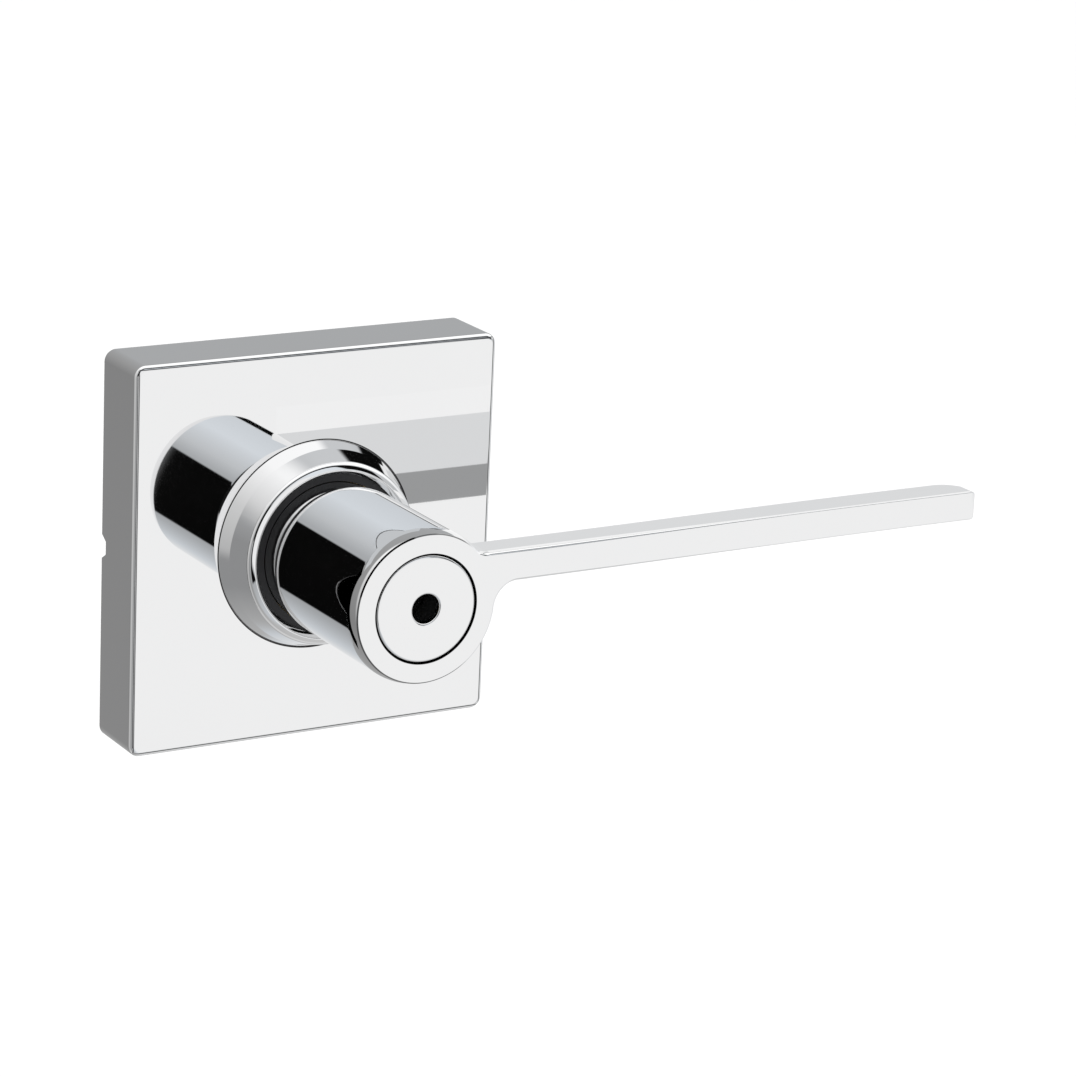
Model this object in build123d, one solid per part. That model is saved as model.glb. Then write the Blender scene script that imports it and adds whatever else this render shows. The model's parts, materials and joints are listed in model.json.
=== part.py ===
from build123d import *
import math
import os

# Door lever handle: the outside half of a privacy lever set, with the parts that it holds inside.
#
# Frame: the origin is on the lever's turning axis, in the plane of the door's face. +X runs along
# the arm, +Y into the door, +Z up. Every stack below is given as a height, which is the distance
# out from the door's face, so a height h lies at y = -h, and a negative height is inside the door.
# All sizes are millimetres.

# ---- rose: the square cover on the door ----
rose_side = 66.7
rose_depth = 12.25
rose_wall = 1.2
rose_front_wall = 1.4
rose_corner_round = 2.0
rose_edge_round = 1.2
notch_mouth = 4.3
notch_floor = 2.2
notch_depth = 1.65

# ---- boss: the raised ring on the rose that the neck turns in ----
boss_height = 7.0
boss_taper = 2.15
boss_crown_width = 2.15
boss_gap = 1.45
boss_foot_round = 0.85
boss_crown_round = 0.5
boss_lip_round = 0.3
boss_top_wall = 1.3
boss_wall = 0.8

# ---- lever: neck, disc head and arm in one casting ----
neck_radius = 12.9
neck_front = 50.8
neck_back = 21.55
neck_back_round_run = 2.8
neck_back_round_drop = 0.7
front_edge_round = 0.42
arm_reach = 107.2
arm_thickness = 6.0
arm_bottom_at_axis = 2.83
arm_bottom_at_tip = 3.04
arm_top_at_axis = 8.02
arm_top_at_tip = 7.95
arm_root_round_top = 3.0
arm_root_round_bottom = 4.25
arm_tip_round = 0.6
arm_tip_back_round = 4.5
arm_bow_start = 24.0
arm_bow_turn = 46.0
arm_bow_at_turn = 0.27
arm_setback_at_tip = 0.45

# ---- face cap with the emergency release hole ----
cap_radius = 9.0
cap_gap = 0.06
cap_thickness = 1.2
cap_ledge = 1.4
cap_edge_round = 0.55
cap_hole_radius = 2.4
cap_hole_edge = 0.2
cap_skirt_length = 4.1
cap_skirt_wall = 2.0
cap_bore_clearance = 0.2
seal_wire = 1.16
seal_height_in_skirt = 2.5
seal_clearance = 0.02
seal_groove_share = 1.2

# ---- sleeve that carries the lever, and its bearing ----
skirt_inset = 0.7
spigot_inset = 1.8
spigot_length = 14.45
sleeve_bore_radius = 7.0
sleeve_web_front = 14.0
sleeve_back = 1.0
sleeve_step = 1.0
step_height = 10.7
running_clearance = 0.05
axial_clearance = 0.1
bush_wall = 1.15
bush_flange_thickness = 1.0
bush_flange_overhang = 2.0
wear_ring_thickness = 1.0
wear_ring_clearance = 0.1

# ---- mounting plate and what it holds ----
plate_thickness = 2.0
plate_gap = 1.4
plate_corner_round = 3.0
plate_hole_gap = 1.8
post_spacing = 38.0
post_radius = 3.5
post_length = 17.0
post_rivet_radius = 2.5
post_rivet_head = 1.0
post_thread_radius = 1.65
post_thread_length = 13.0
bore_ring_radius = 26.8
bore_ring_wall = 1.5
bore_ring_length = 5.0
peg_radius = 0.7

# ---- snap clips that hold the rose ----
clip_x = 14.0
clip_width = 8.0
clip_thickness = 0.6
clip_foot = 6.2
clip_top = 6.0
clip_wall_gap = 0.2
bead_height = 0.4
bead_low = 3.2
bead_thick = 1.0
bead_play = 0.2
bead_side_margin = 1.0
rivet_radius = 1.2
rivet_head_radius = 2.0
rivet_head_height = 0.6

# ---- spring housing ----
housing_radius = 25.5
housing_wall = 3.0
housing_front_wall = 1.5
housing_rose_gap = 0.85
nose_wall = 1.2
ear_reach = 30.0
ear_radius = 4.5
ear_thickness = 2.0
ear_count = 4
screw_radius = 1.5
screw_head_radius = 2.75
screw_head_height = 1.8
screw_hole_clearance = 0.2
screw_slot = 0.8
thread_clearance = 0.05

# ---- centring spring, cam and stops ----
spring_wire = 1.2
spring_pitch = 1.25
spring_leg_top = 22.0
tab_width = 4.0
tab_leg_gap = 0.05
fixed_tab_low = 3.0
fixed_tab_share = 0.51
tab_radial_gap = 1.0
cam_thickness = 1.4
cam_plate_gap = 0.2
cam_rim = 2.8
cam_flat_depth = 1.7
cam_tab_height = 3.7
lug_half_angle = 10.0
lug_wall_gap = 0.6
stop_pin_radius = 1.5
stop_pin_wall_gap = 0.5
stop_pin_height = 4.2
lever_swing = 50.0
stop_margin = 1.0

# ---- retaining rings ----
sleeve_ring_thickness = 1.0
sleeve_ring_depth = 1.0
sleeve_ring_width = 3.4
cam_ring_thickness = 0.8
cam_ring_depth = 0.8
cam_ring_width = 2.2
ring_opening = 40.0

# ---- spindle to the latch ----
spindle_side = 8.0
spindle_length = 46.0
spindle_fit = 0.05
spindle_head_radius = 6.6
spindle_head_length = 2.5
spindle_bore_radius = 1.8
spindle_end_bevel = 0.6
spindle_clip_groove = 4.9
spindle_clip_radius = 7.5
spindle_clip_thickness = 0.8

# ---- emergency release ----
rod_radius = 1.6
rod_overhang = 4.0
rod_blade_length = 8.0
rod_blade_thickness = 1.8
nose_radius = 3.25
nose_slot_width = 1.0
nose_slot_depth = 1.0
slide_clearance = 0.05
stem_depth = 2.0
release_flange_radius = 4.2
release_flange_thickness = 1.6
guide_flange_thickness = 1.2
guide_flange_overhang = 2.0
guide_front_wall = 3.0
guide_room = 0.1
release_spring_wire = 0.6
release_spring_turns = 8.0
release_spring_clearance = 0.35

# ---- clamping screw under the neck ----
set_screw_radius = 2.5
set_screw_height = 29.0
set_screw_recess = 0.4
set_screw_seat = 0.8
set_screw_socket = 1.25
set_screw_socket_depth = 1.5

# ---- places worked out from the sizes above ----
rose_half = rose_side / 2
rose_inner_half = rose_half - rose_wall
rose_inner_top = rose_depth - rose_front_wall
sleeve_radius = neck_radius - skirt_inset
sleeve_rear_radius = sleeve_radius - sleeve_step
spigot_radius = sleeve_radius - spigot_inset
plate_hole_radius = sleeve_rear_radius + plate_hole_gap
boss_hole_radius = sleeve_radius + boss_gap
boss_top_radius = boss_hole_radius + boss_crown_width
boss_foot_radius = boss_top_radius + boss_taper
boss_cavity_radius = boss_top_radius - boss_wall
boss_front = rose_depth + boss_height
boss_cavity_top = boss_front - boss_top_wall
neck_bore_radius = cap_radius - cap_ledge
cap_recess_radius = cap_radius + cap_gap
cap_back = neck_front - cap_thickness
cap_skirt_radius = neck_bore_radius - cap_bore_clearance
cap_skirt_bore = cap_skirt_radius - cap_skirt_wall
spigot_front = neck_back + spigot_length
guide_front = spigot_front + guide_flange_thickness
neck_bore_floor = guide_front + axial_clearance + guide_room
housing_top = rose_inner_top - housing_rose_gap
housing_inner_top = housing_top - housing_front_wall
housing_inner_radius = housing_radius - housing_wall
bush_radius = sleeve_radius + running_clearance + bush_wall
bush_flange_back = housing_inner_top - bush_flange_thickness
nose_outer_radius = bush_radius + nose_wall
wear_ring_front = boss_cavity_top - axial_clearance - running_clearance
nose_front = wear_ring_front - wear_ring_thickness
sleeve_ring_front = bush_flange_back - axial_clearance
plate_half = rose_inner_half - plate_gap
cam_back = plate_thickness + cam_plate_gap
cam_front = cam_back + cam_thickness
cam_radius = sleeve_rear_radius + cam_rim
cam_flat = sleeve_rear_radius - cam_flat_depth
spring_radius = sleeve_rear_radius + sleeve_ring_width - sleeve_ring_depth + spring_wire
spring_front = bush_flange_back - axial_clearance
tab_low = spring_radius + spring_wire / 2 + tab_radial_gap
tab_metal = housing_inner_radius - tab_radial_gap - tab_low
fixed_tab_bottom = housing_inner_radius - fixed_tab_share * tab_metal
cam_tab_top = fixed_tab_bottom - tab_radial_gap
leg_x = tab_width / 2 + tab_leg_gap + spring_wire / 2
leg_angle = math.degrees(math.asin(leg_x / spring_radius))
spring_turns = 2 - 2 * leg_angle / 360
stop_pin_orbit = housing_inner_radius - stop_pin_wall_gap - stop_pin_radius
pin_half_angle = math.degrees(math.asin(stop_pin_radius / stop_pin_orbit))
stop_angle = lever_swing + lug_half_angle + pin_half_angle + stop_margin
spindle_front = sleeve_web_front + spindle_head_length
guide_shoulder = spigot_front - guide_front_wall
release_face = guide_front - guide_room
flange_back = guide_shoulder - release_flange_thickness
rod_back = -spindle_length - rod_overhang
post_x = post_spacing / 2


# ---- simple solids ----
def turned(profile):
    """A piece turned about the lever's axis, from its (radius, height) corners."""
    outline = Polyline([(radius, -height) for radius, height in profile], close=True)
    return revolve(make_face(outline), axis=Axis.Y)


def ring(inner, outer, low, high):
    """A flat ring or tube about the lever's axis."""
    return turned([(inner, low), (outer, low), (outer, high), (inner, high)])


def rod(radius, low, high, x=0.0, z=0.0):
    """A round rod along the axis, centred at x and z."""
    return Pos(x, -(low + high) / 2, z) * Rot(X=90) * Cylinder(radius, abs(high - low))


def block(xs, heights, zs):
    """A rectangular block between two values of x, of height and of z."""
    size = [abs(pair[1] - pair[0]) for pair in (xs, heights, zs)]
    middle = Pos(sum(xs) / 2, -sum(heights) / 2, sum(zs) / 2)
    return middle * Box(*size)


def at_angle(angle, shape):
    """The shape turned about the lever's axis, from +X towards +Z."""
    return Rot(Y=-angle) * shape


def round_edges(shape, radius, height):
    """The shape's round edges about the lever's axis that have this radius and height."""
    near = 1e-3
    return [
        edge
        for edge in shape.edges().filter_by(GeomType.CIRCLE)
        if abs(edge.radius - radius) < near
        and abs(edge.arc_center.Y + height) < near
        and math.hypot(edge.arc_center.X, edge.arc_center.Z) < near
    ]


def coil(mean_radius, wire, pitch, turns):
    """A helical wire along +Z that starts at +X."""
    path = Helix(pitch, pitch * turns, mean_radius)
    section = Plane(origin=path @ 0, z_dir=path % 0) * Circle(wire / 2)
    return sweep(section, path=path, is_frenet=True)


def snap_ring(inner, outer, low, high, opening_at):
    """A retaining ring with an opening to spread it by."""
    half = math.radians(ring_opening / 2)
    reach = 2 * outer
    wedge = Polyline(
        [(0, 0), (reach, -reach * math.tan(half)), (reach, reach * math.tan(half))], close=True
    )
    cut = extrude(Plane.XZ * make_face(wedge), amount=high)
    return ring(inner, outer, low, high) - at_angle(opening_at, cut)


# ---- fixed pieces ----
def rose_cover():
    """Square cover, hollow behind, with the boss, pry notches and snap beads."""
    cover = block((-rose_half, rose_half), (0, rose_depth), (-rose_half, rose_half))
    cover = fillet(cover.edges().filter_by(Axis.Y), rose_corner_round)
    cover = fillet(cover.faces().sort_by(Axis.Y)[0].edges(), rose_edge_round)
    root = rose_depth - rose_front_wall
    boss = [(0, root), (boss_foot_radius, root), (boss_foot_radius, rose_depth)]
    cover += turned(boss + [(boss_top_radius, boss_front), (0, boss_front)])
    cover = fillet(round_edges(cover, boss_foot_radius, rose_depth), boss_foot_round)
    cover = fillet(round_edges(cover, boss_top_radius, boss_front), boss_crown_round)

    hollow = block(
        (-rose_inner_half, rose_inner_half), (0, rose_inner_top), (-rose_inner_half, rose_inner_half)
    )
    hollow = fillet(hollow.edges().filter_by(Axis.Y), rose_corner_round - rose_wall)
    cover -= hollow
    cover -= rod(boss_cavity_radius, 0, boss_cavity_top)
    cover -= rod(boss_hole_radius, 0, boss_front)
    cover = fillet(round_edges(cover, boss_hole_radius, boss_front), boss_lip_round)

    mouth, floor = notch_mouth / 2, notch_floor / 2
    notch = Polyline([(0, -mouth), (0, mouth), (-notch_depth, floor), (-notch_depth, -floor)], close=True)
    cover -= extrude(Plane.YZ * make_face(notch), amount=rose_side, both=True)

    half_width = clip_width / 2 + bead_side_margin
    for side_x, side_z in corner_signs():
        x = side_x * clip_x
        cover += block(
            (x - half_width, x + half_width),
            (bead_low, bead_low + bead_thick),
            (side_z * (rose_inner_half - bead_height), side_z * (rose_inner_half + rose_wall / 2)),
        )
    return cover


def corner_signs():
    """The signs of x and z in the four quarters of the rose."""
    return [(side_x, side_z) for side_x in (-1, 1) for side_z in (-1, 1)]


def ear_angles():
    """Where the housing's ears and screws sit, out towards the plate's corners."""
    return [360 / ear_count * (index + 0.5) for index in range(ear_count)]


def peg_places():
    """Where the bore ring's pegs pass through the plate: (x, z), on the ring's middle radius."""
    orbit = bore_ring_radius - bore_ring_wall / 2
    turns = [math.radians(angle) for angle in (0, 90, 180, 270)]
    return [(orbit * math.cos(turn), orbit * math.sin(turn)) for turn in turns]


def rivet_z():
    """Height above the axis of the clips' rivets, at the middle of the clip's foot."""
    return rose_inner_half - bead_height - clip_wall_gap - clip_foot / 2 - clip_thickness


def stop_places():
    """Where the two stop pins stand: (x, z), either side of the bottom."""
    turns = [math.radians(270 + side * stop_angle) for side in (-1, 1)]
    return [(stop_pin_orbit * math.cos(turn), stop_pin_orbit * math.sin(turn)) for turn in turns]


def mounting_plate():
    """Steel plate against the door that carries everything else."""
    plate = block((-plate_half, plate_half), (0, plate_thickness), (-plate_half, plate_half))
    plate = fillet(plate.edges().filter_by(Axis.Y), plate_corner_round)
    plate -= rod(plate_hole_radius, 0, plate_thickness)
    for x in (-post_x, post_x):
        plate -= rod(post_rivet_radius, 0, plate_thickness, x)
        plate -= rod(post_radius, plate_thickness - post_rivet_head, plate_thickness, x)
    for angle in ear_angles():
        plate -= at_angle(angle, rod(screw_radius + thread_clearance, 0, plate_thickness, ear_reach))
    for x, z in peg_places():
        plate -= rod(peg_radius, 0, plate_thickness, x, z)
    for side_x, side_z in corner_signs():
        plate -= rod(rivet_radius, 0, plate_thickness, side_x * clip_x, side_z * rivet_z())
    for x, z in stop_places():
        plate -= rod(stop_pin_radius, 0, plate_thickness, x, z)
    return plate


def through_posts():
    """Two tapped posts, riveted flush into the plate, that take the bolts from the other side."""
    posts = []
    for x in (-post_x, post_x):
        post = rod(post_radius, -post_length, 0, x)
        post += rod(post_rivet_radius, 0, plate_thickness, x)
        post += rod(post_radius, plate_thickness - post_rivet_head, plate_thickness, x)
        post -= rod(post_thread_radius, -post_length, post_thread_length - post_length, x)
        posts.append(post)
    return posts


def bore_ring():
    """Plastic ring that centres the plate in the door's cross bore, held by four pegs."""
    body = ring(bore_ring_radius - bore_ring_wall, bore_ring_radius, -bore_ring_length, 0)
    for x, z in peg_places():
        body += rod(peg_radius, -bore_ring_length / 2, plate_thickness, x, z)
    return body


def rose_clips():
    """Four spring-steel clips that hook over the beads inside the rose."""
    low = plate_thickness
    hook_low = bead_low + bead_thick + bead_play
    face = rose_inner_half - bead_height - clip_wall_gap
    clips = []
    for side_x, side_z in corner_signs():
        xs = (side_x * clip_x - clip_width / 2, side_x * clip_x + clip_width / 2)
        foot = (side_z * (face - clip_thickness - clip_foot), side_z * face)
        upright = (side_z * (face - clip_thickness), side_z * face)
        hook = (side_z * (face - clip_thickness), side_z * (rose_inner_half - clip_wall_gap))
        clip = block(xs, (low, low + clip_thickness), foot)
        clip += block(xs, (low, clip_top), upright)
        clip += block(xs, (hook_low, hook_low + bead_thick), hook)
        clip -= rod(rivet_radius, low, low + clip_thickness, side_x * clip_x, side_z * rivet_z())
        clips.append(clip)
    return clips


def clip_rivets():
    """One rivet through each clip and the plate."""
    top = plate_thickness + clip_thickness
    rivets = []
    for side_x, side_z in corner_signs():
        x, z = side_x * clip_x, side_z * rivet_z()
        shank = rod(rivet_radius, 0, top, x, z)
        rivets.append(shank + rod(rivet_head_radius, top, top + rivet_head_height, x, z))
    return rivets


def spring_housing():
    """Round cup over the spring, with the nose that holds the bush and four screwed ears."""
    housing = turned(
        [
            (housing_inner_radius, plate_thickness),
            (housing_radius, plate_thickness),
            (housing_radius, housing_top),
            (nose_outer_radius, housing_top),
            (nose_outer_radius, nose_front),
            (bush_radius, nose_front),
            (bush_radius, housing_inner_top),
            (housing_inner_radius, housing_inner_top),
        ]
    )
    low, high = plate_thickness, plate_thickness + ear_thickness
    for angle in ear_angles():
        inner = housing_radius - housing_wall / 2
        ear = block((inner, ear_reach), (low, high), (-ear_radius, ear_radius))
        ear += rod(ear_radius, low, high, ear_reach)
        ear -= rod(screw_radius + screw_hole_clearance, low, high, ear_reach)
        housing += at_angle(angle, ear)
    half_tab = tab_width / 2
    housing += block(
        (-half_tab, half_tab),
        (fixed_tab_low, housing_inner_top + housing_front_wall / 2),
        (fixed_tab_bottom, housing_inner_radius + housing_wall / 4),
    )
    return housing


def housing_screws():
    """Slotted pan-head screws through the ears into the plate."""
    seat = plate_thickness + ear_thickness
    top = seat + screw_head_height
    screws = []
    for angle in ear_angles():
        screw = rod(screw_radius, 0, seat, ear_reach) + rod(screw_head_radius, seat, top, ear_reach)
        slot = (ear_reach - screw_slot / 2, ear_reach + screw_slot / 2)
        screw -= block(slot, (top - screw_slot, top), (-screw_head_radius, screw_head_radius))
        screws.append(at_angle(angle, screw))
    return screws


def bearing_bush():
    """Stepped, flanged bush pressed into the housing's nose."""
    flange = bush_radius + bush_flange_overhang
    front_bore = sleeve_radius + running_clearance
    rear_bore = sleeve_rear_radius + running_clearance
    step = step_height - axial_clearance
    return turned(
        [
            (front_bore, nose_front),
            (bush_radius, nose_front),
            (bush_radius, housing_inner_top),
            (flange, housing_inner_top),
            (flange, bush_flange_back),
            (rear_bore, bush_flange_back),
            (rear_bore, step),
            (front_bore, step),
        ]
    )


def wear_ring():
    """Black ring at the bottom of the gap round the sleeve."""
    outer = min(nose_outer_radius, boss_cavity_radius) - wear_ring_clearance / 2
    return ring(sleeve_radius + wear_ring_clearance, outer, nose_front, wear_ring_front)


def stop_pins():
    """Two pins, riveted into the plate, that the cam's lug comes up against."""
    return [rod(stop_pin_radius, 0, stop_pin_height, x, z) for x, z in stop_places()]


def return_spring():
    """Torsion spring whose two legs grip the fixed tab and the cam's tab, so it centres the lever."""
    wire = coil(spring_radius, spring_wire, spring_pitch, spring_turns)
    first = 90 + leg_angle
    spring = Pos(0, -spring_front + spring_wire / 2, 0) * at_angle(first, Rot(X=-90) * wire)
    leg_bottom = spring_radius * math.cos(math.radians(leg_angle))
    middle = (leg_bottom + spring_leg_top) / 2
    front_leg = spring_front - spring_wire / 2
    rear_leg = front_leg - spring_pitch * spring_turns
    for side, height in ((-1, front_leg), (1, rear_leg)):
        leg = Cylinder(spring_wire / 2, spring_leg_top - leg_bottom)
        spring += Pos(side * leg_x, -height, middle) * leg
        spring += Pos(side * leg_x, -height, leg_bottom) * Sphere(spring_wire / 2)
    return spring


# ---- pieces that turn with the lever ----
def lever_handle():
    """Hollow neck, disc head and slim bowed arm in one casting."""
    lever = neck_blank() + arm_blank()
    front = [edge for edge in lever.edges() if is_front_edge(edge)]
    lever = fillet(front, front_edge_round)
    lever -= rod(neck_bore_radius, neck_bore_floor, neck_front)
    lever -= rod(cap_recess_radius, cap_back, neck_front)
    return lever - below_neck(set_screw_radius + thread_clearance, 0, neck_radius)


def neck_blank():
    """The neck with its closed front, eased into the sleeve's skirt by an arc at its back end."""
    run, drop = neck_back_round_run, neck_back_round_drop
    ease_radius = (run**2 + drop**2) / (2 * drop)
    half_turn = math.asin(run / ease_radius) / 2
    shoulder = -neck_back - run
    halfway = (
        neck_radius - ease_radius * (1 - math.cos(half_turn)),
        shoulder + ease_radius * math.sin(half_turn),
    )
    ease = ThreePointArc((sleeve_radius, -neck_back), halfway, (neck_radius, shoulder))
    rest = Polyline(
        (neck_radius, shoulder),
        (neck_radius, -neck_front),
        (0, -neck_front),
        (0, -neck_bore_floor),
        (spigot_radius, -neck_bore_floor),
        (spigot_radius, -neck_back),
        (sleeve_radius, -neck_back),
    )
    return revolve(make_face(Curve() + [ease, rest]), axis=Axis.Y)


def arm_front_line():
    """The arm's front face in plan: straight off the disc, then two tangent arcs to the tip."""
    start = (arm_bow_start, -neck_front)
    turn = (arm_bow_turn, -neck_front + arm_bow_at_turn)
    tip = (arm_reach, -neck_front + arm_setback_at_tip)
    into = TangentArc(start, turn, tangent=(1, 0))
    return [Line((-neck_radius, -neck_front), start), into, TangentArc(turn, tip, tangent=into % 1)]


def arm_blank():
    """Disc head and arm: the front view pushed back along Y, kept where the plan view allows."""
    bar = Polyline(
        [
            (0, arm_bottom_at_axis),
            (arm_reach, arm_bottom_at_tip),
            (arm_reach, arm_top_at_tip),
            (0, arm_top_at_axis),
        ],
        close=True,
    )
    bar_face = make_face(bar)
    bar_face = fillet(bar_face.vertices().group_by(Axis.X)[-1], arm_tip_round)
    outline = Circle(neck_radius) + bar_face
    corners = [
        corner
        for corner in outline.vertices()
        if 0 < corner.X < neck_radius and abs(math.hypot(corner.X, corner.Y) - neck_radius) < 1e-3
    ]
    lower, upper = sorted(corners, key=lambda corner: corner.Y)
    outline = fillet(lower, arm_root_round_bottom)
    outline = fillet(outline.vertices().sort_by_distance(upper)[0], arm_root_round_top)
    front_view = extrude(Plane.XZ * outline, amount=neck_front)

    front_line = arm_front_line()
    back_line = [Pos(0, arm_thickness, 0) * line for line in front_line]
    ends = [
        Line(front_line[0] @ 0, back_line[0] @ 0),
        Line(front_line[-1] @ 1, back_line[-1] @ 1),
    ]
    plan = make_face(Curve() + front_line + back_line + ends)
    back_tip = plan.vertices().group_by(Axis.X)[-1].sort_by(Axis.Y)[-1]
    plan = fillet(back_tip, arm_tip_back_round)
    return front_view & extrude(plan, amount=neck_radius, both=True)


def is_front_edge(edge):
    """Whether an edge lies along the rim of the lever's front face, which bows back a little."""
    lowest = neck_front - 3 * max(arm_bow_at_turn, arm_setback_at_tip)
    return all(-(edge @ place).Y > lowest for place in (0, 0.5, 1))


def below_neck(radius, inner, outer):
    """A rod pointing straight down from the axis, between two distances from it."""
    return Pos(0, -set_screw_height, -(inner + outer) / 2) * Cylinder(radius, outer - inner)


def face_cap():
    """Round cap, flush with the disc, with the release hole and a skirt that plugs into the neck."""
    skirt_back = cap_back - cap_skirt_length
    groove_low = cap_back - seal_height_in_skirt - seal_wire * seal_groove_share / 2
    groove_high = groove_low + seal_wire * seal_groove_share
    groove_radius = neck_bore_radius - seal_wire - 2 * seal_clearance
    cap = turned(
        [
            (0, cap_back),
            (cap_skirt_bore, cap_back),
            (cap_skirt_bore, skirt_back),
            (cap_skirt_radius, skirt_back),
            (cap_skirt_radius, groove_low),
            (groove_radius, groove_low),
            (groove_radius, groove_high),
            (cap_skirt_radius, groove_high),
            (cap_skirt_radius, cap_back),
            (cap_radius, cap_back),
            (cap_radius, neck_front),
            (0, neck_front),
        ]
    )
    cap = fillet(round_edges(cap, cap_radius, neck_front), cap_edge_round)
    cap -= rod(cap_hole_radius, cap_back, neck_front)
    return chamfer(round_edges(cap, cap_hole_radius, neck_front), cap_hole_edge)


def cap_seal():
    """Rubber ring in the skirt's groove that grips the neck's bore."""
    orbit = neck_bore_radius - seal_clearance - seal_wire / 2
    return Pos(0, seal_height_in_skirt - cap_back, 0) * Rot(X=90) * Torus(orbit, seal_wire / 2)


def spindle_sleeve():
    """Steel sleeve: spigot in the neck, journal in the bush, square socket for the spindle."""
    sleeve = turned(
        [
            (0, sleeve_back),
            (sleeve_rear_radius, sleeve_back),
            (sleeve_rear_radius, step_height),
            (sleeve_radius, step_height),
            (sleeve_radius, neck_back),
            (spigot_radius, neck_back),
            (spigot_radius, spigot_front),
            (sleeve_bore_radius, spigot_front),
            (sleeve_bore_radius, sleeve_web_front),
            (0, sleeve_web_front),
        ]
    )
    socket = spindle_side / 2 + spindle_fit
    sleeve -= block((-socket, socket), (0, sleeve_web_front), (-socket, socket))
    for side in (-1, 1):
        flat = (side * cam_flat, side * neck_radius)
        sleeve -= block(flat, (0, cam_front), (-neck_radius, neck_radius))
    floor = sleeve_rear_radius - sleeve_ring_depth
    sleeve -= ring(floor, neck_radius, sleeve_ring_front - sleeve_ring_thickness, sleeve_ring_front)
    floor = sleeve_rear_radius - cam_ring_depth
    sleeve -= ring(floor, neck_radius, cam_back - cam_ring_thickness, cam_back)
    sleeve -= below_neck(set_screw_radius, spigot_radius - set_screw_seat, neck_radius)
    return sleeve


def sleeve_retaining_ring():
    """Snap ring behind the bush that stops the lever being pulled off."""
    inner = sleeve_rear_radius - sleeve_ring_depth
    low = sleeve_ring_front - sleeve_ring_thickness
    return snap_ring(inner, inner + sleeve_ring_width, low, sleeve_ring_front, 270)


def cam_retaining_ring():
    """Snap ring that keeps the cam on the sleeve's flats."""
    inner = sleeve_rear_radius - cam_ring_depth
    return snap_ring(inner, inner + cam_ring_width, cam_back - cam_ring_thickness, cam_back, 90)


def drive_cam():
    """Cam keyed on the sleeve's flats: a tab that loads the spring and a lug that meets the stops."""
    cam = rod(cam_radius, cam_back, cam_front)
    half_tab = tab_width / 2
    arm_low = math.sqrt(cam_radius**2 - half_tab**2) - 1
    cam += block((-half_tab, half_tab), (cam_back, cam_front), (arm_low, cam_tab_top))
    tab = (tab_low, cam_tab_top)
    cam += block((-half_tab, half_tab), (cam_back, cam_front + cam_tab_height), tab)

    lug_reach = housing_inner_radius - lug_wall_gap
    spread = 2 * lug_reach * math.tan(math.radians(lug_half_angle))
    wedge = Polyline([(0, 0), (2 * lug_reach, -spread), (2 * lug_reach, spread)], close=True)
    wedge_solid = extrude(Plane.XZ * make_face(wedge), amount=neck_front)
    cam += at_angle(270, wedge_solid & ring(cam_radius - 1, lug_reach, cam_back, cam_front))

    key = block((-cam_flat, cam_flat), (cam_back, cam_front), (-cam_radius, cam_radius))
    return cam - (key & rod(sleeve_rear_radius, cam_back, cam_front))


def spindle():
    """Square spindle to the latch, headed inside the sleeve and bored for the release rod."""
    half = spindle_side / 2
    bar = block((-half, half), (-spindle_length, sleeve_web_front), (-half, half))
    bar = chamfer(bar.faces().sort_by(Axis.Y)[-1].edges(), spindle_end_bevel)
    bar += rod(spindle_head_radius, sleeve_web_front, spindle_front)
    low = sleeve_back - spindle_clip_thickness
    bar -= ring(spindle_clip_groove, spindle_side, low, sleeve_back)
    return bar - rod(spindle_bore_radius, -spindle_length, spindle_front)


def spindle_clip():
    """Snap ring in the spindle's corner grooves, behind the sleeve."""
    low = sleeve_back - spindle_clip_thickness
    return snap_ring(spindle_clip_groove, spindle_clip_radius, low, sleeve_back, 270)


def set_screw():
    """Socket screw under the neck that clamps the lever to the sleeve."""
    inner = spigot_radius - set_screw_seat
    outer = neck_radius - set_screw_recess
    screw = below_neck(set_screw_radius, inner, outer)
    key = Plane.XY.offset(-outer) * Pos(0, -set_screw_height) * RegularPolygon(set_screw_socket, 6)
    return screw - extrude(key, amount=set_screw_socket_depth)


def release_guide():
    """Plastic guide in the sleeve's bore that the release head slides in."""
    nose_bore = nose_radius + slide_clearance
    spring_bore = release_flange_radius + guide_room
    return turned(
        [
            (nose_bore, guide_front),
            (sleeve_bore_radius + guide_flange_overhang, guide_front),
            (sleeve_bore_radius + guide_flange_overhang, spigot_front),
            (sleeve_bore_radius, spigot_front),
            (sleeve_bore_radius, spindle_front),
            (spring_bore, spindle_front),
            (spring_bore, guide_shoulder),
            (nose_bore, guide_shoulder),
        ]
    )


# ---- pieces that slide with the emergency release ----
def release_head():
    """Slotted head that a pin through the face cap pushes."""
    head = rod(nose_radius, guide_shoulder, release_face)
    head += rod(release_flange_radius, flange_back, guide_shoulder)
    head -= rod(rod_radius, flange_back, release_face - stem_depth)
    slot = nose_slot_width / 2
    return head - block(
        (-slot, slot), (release_face - nose_slot_depth, release_face), (-nose_radius, nose_radius)
    )


def release_rod():
    """Rod through the spindle, flattened at its far end to reach the privacy lock."""
    body = rod(rod_radius, rod_back, release_face - stem_depth)
    half = rod_blade_thickness / 2
    for side in (-1, 1):
        body -= block((side * half, side * nose_radius), (rod_back, rod_back + rod_blade_length), (-4, 4))
    return body


def release_spring():
    """Compression spring that brings the release head back out."""
    room = flange_back - spindle_front
    pitch = (room - release_spring_wire) / release_spring_turns
    mean = release_flange_radius - release_spring_clearance - release_spring_wire / 2
    wire = coil(mean, release_spring_wire, pitch, release_spring_turns)
    return Pos(0, -spindle_front - release_spring_wire / 2, 0) * Rot(X=90) * wire


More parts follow.
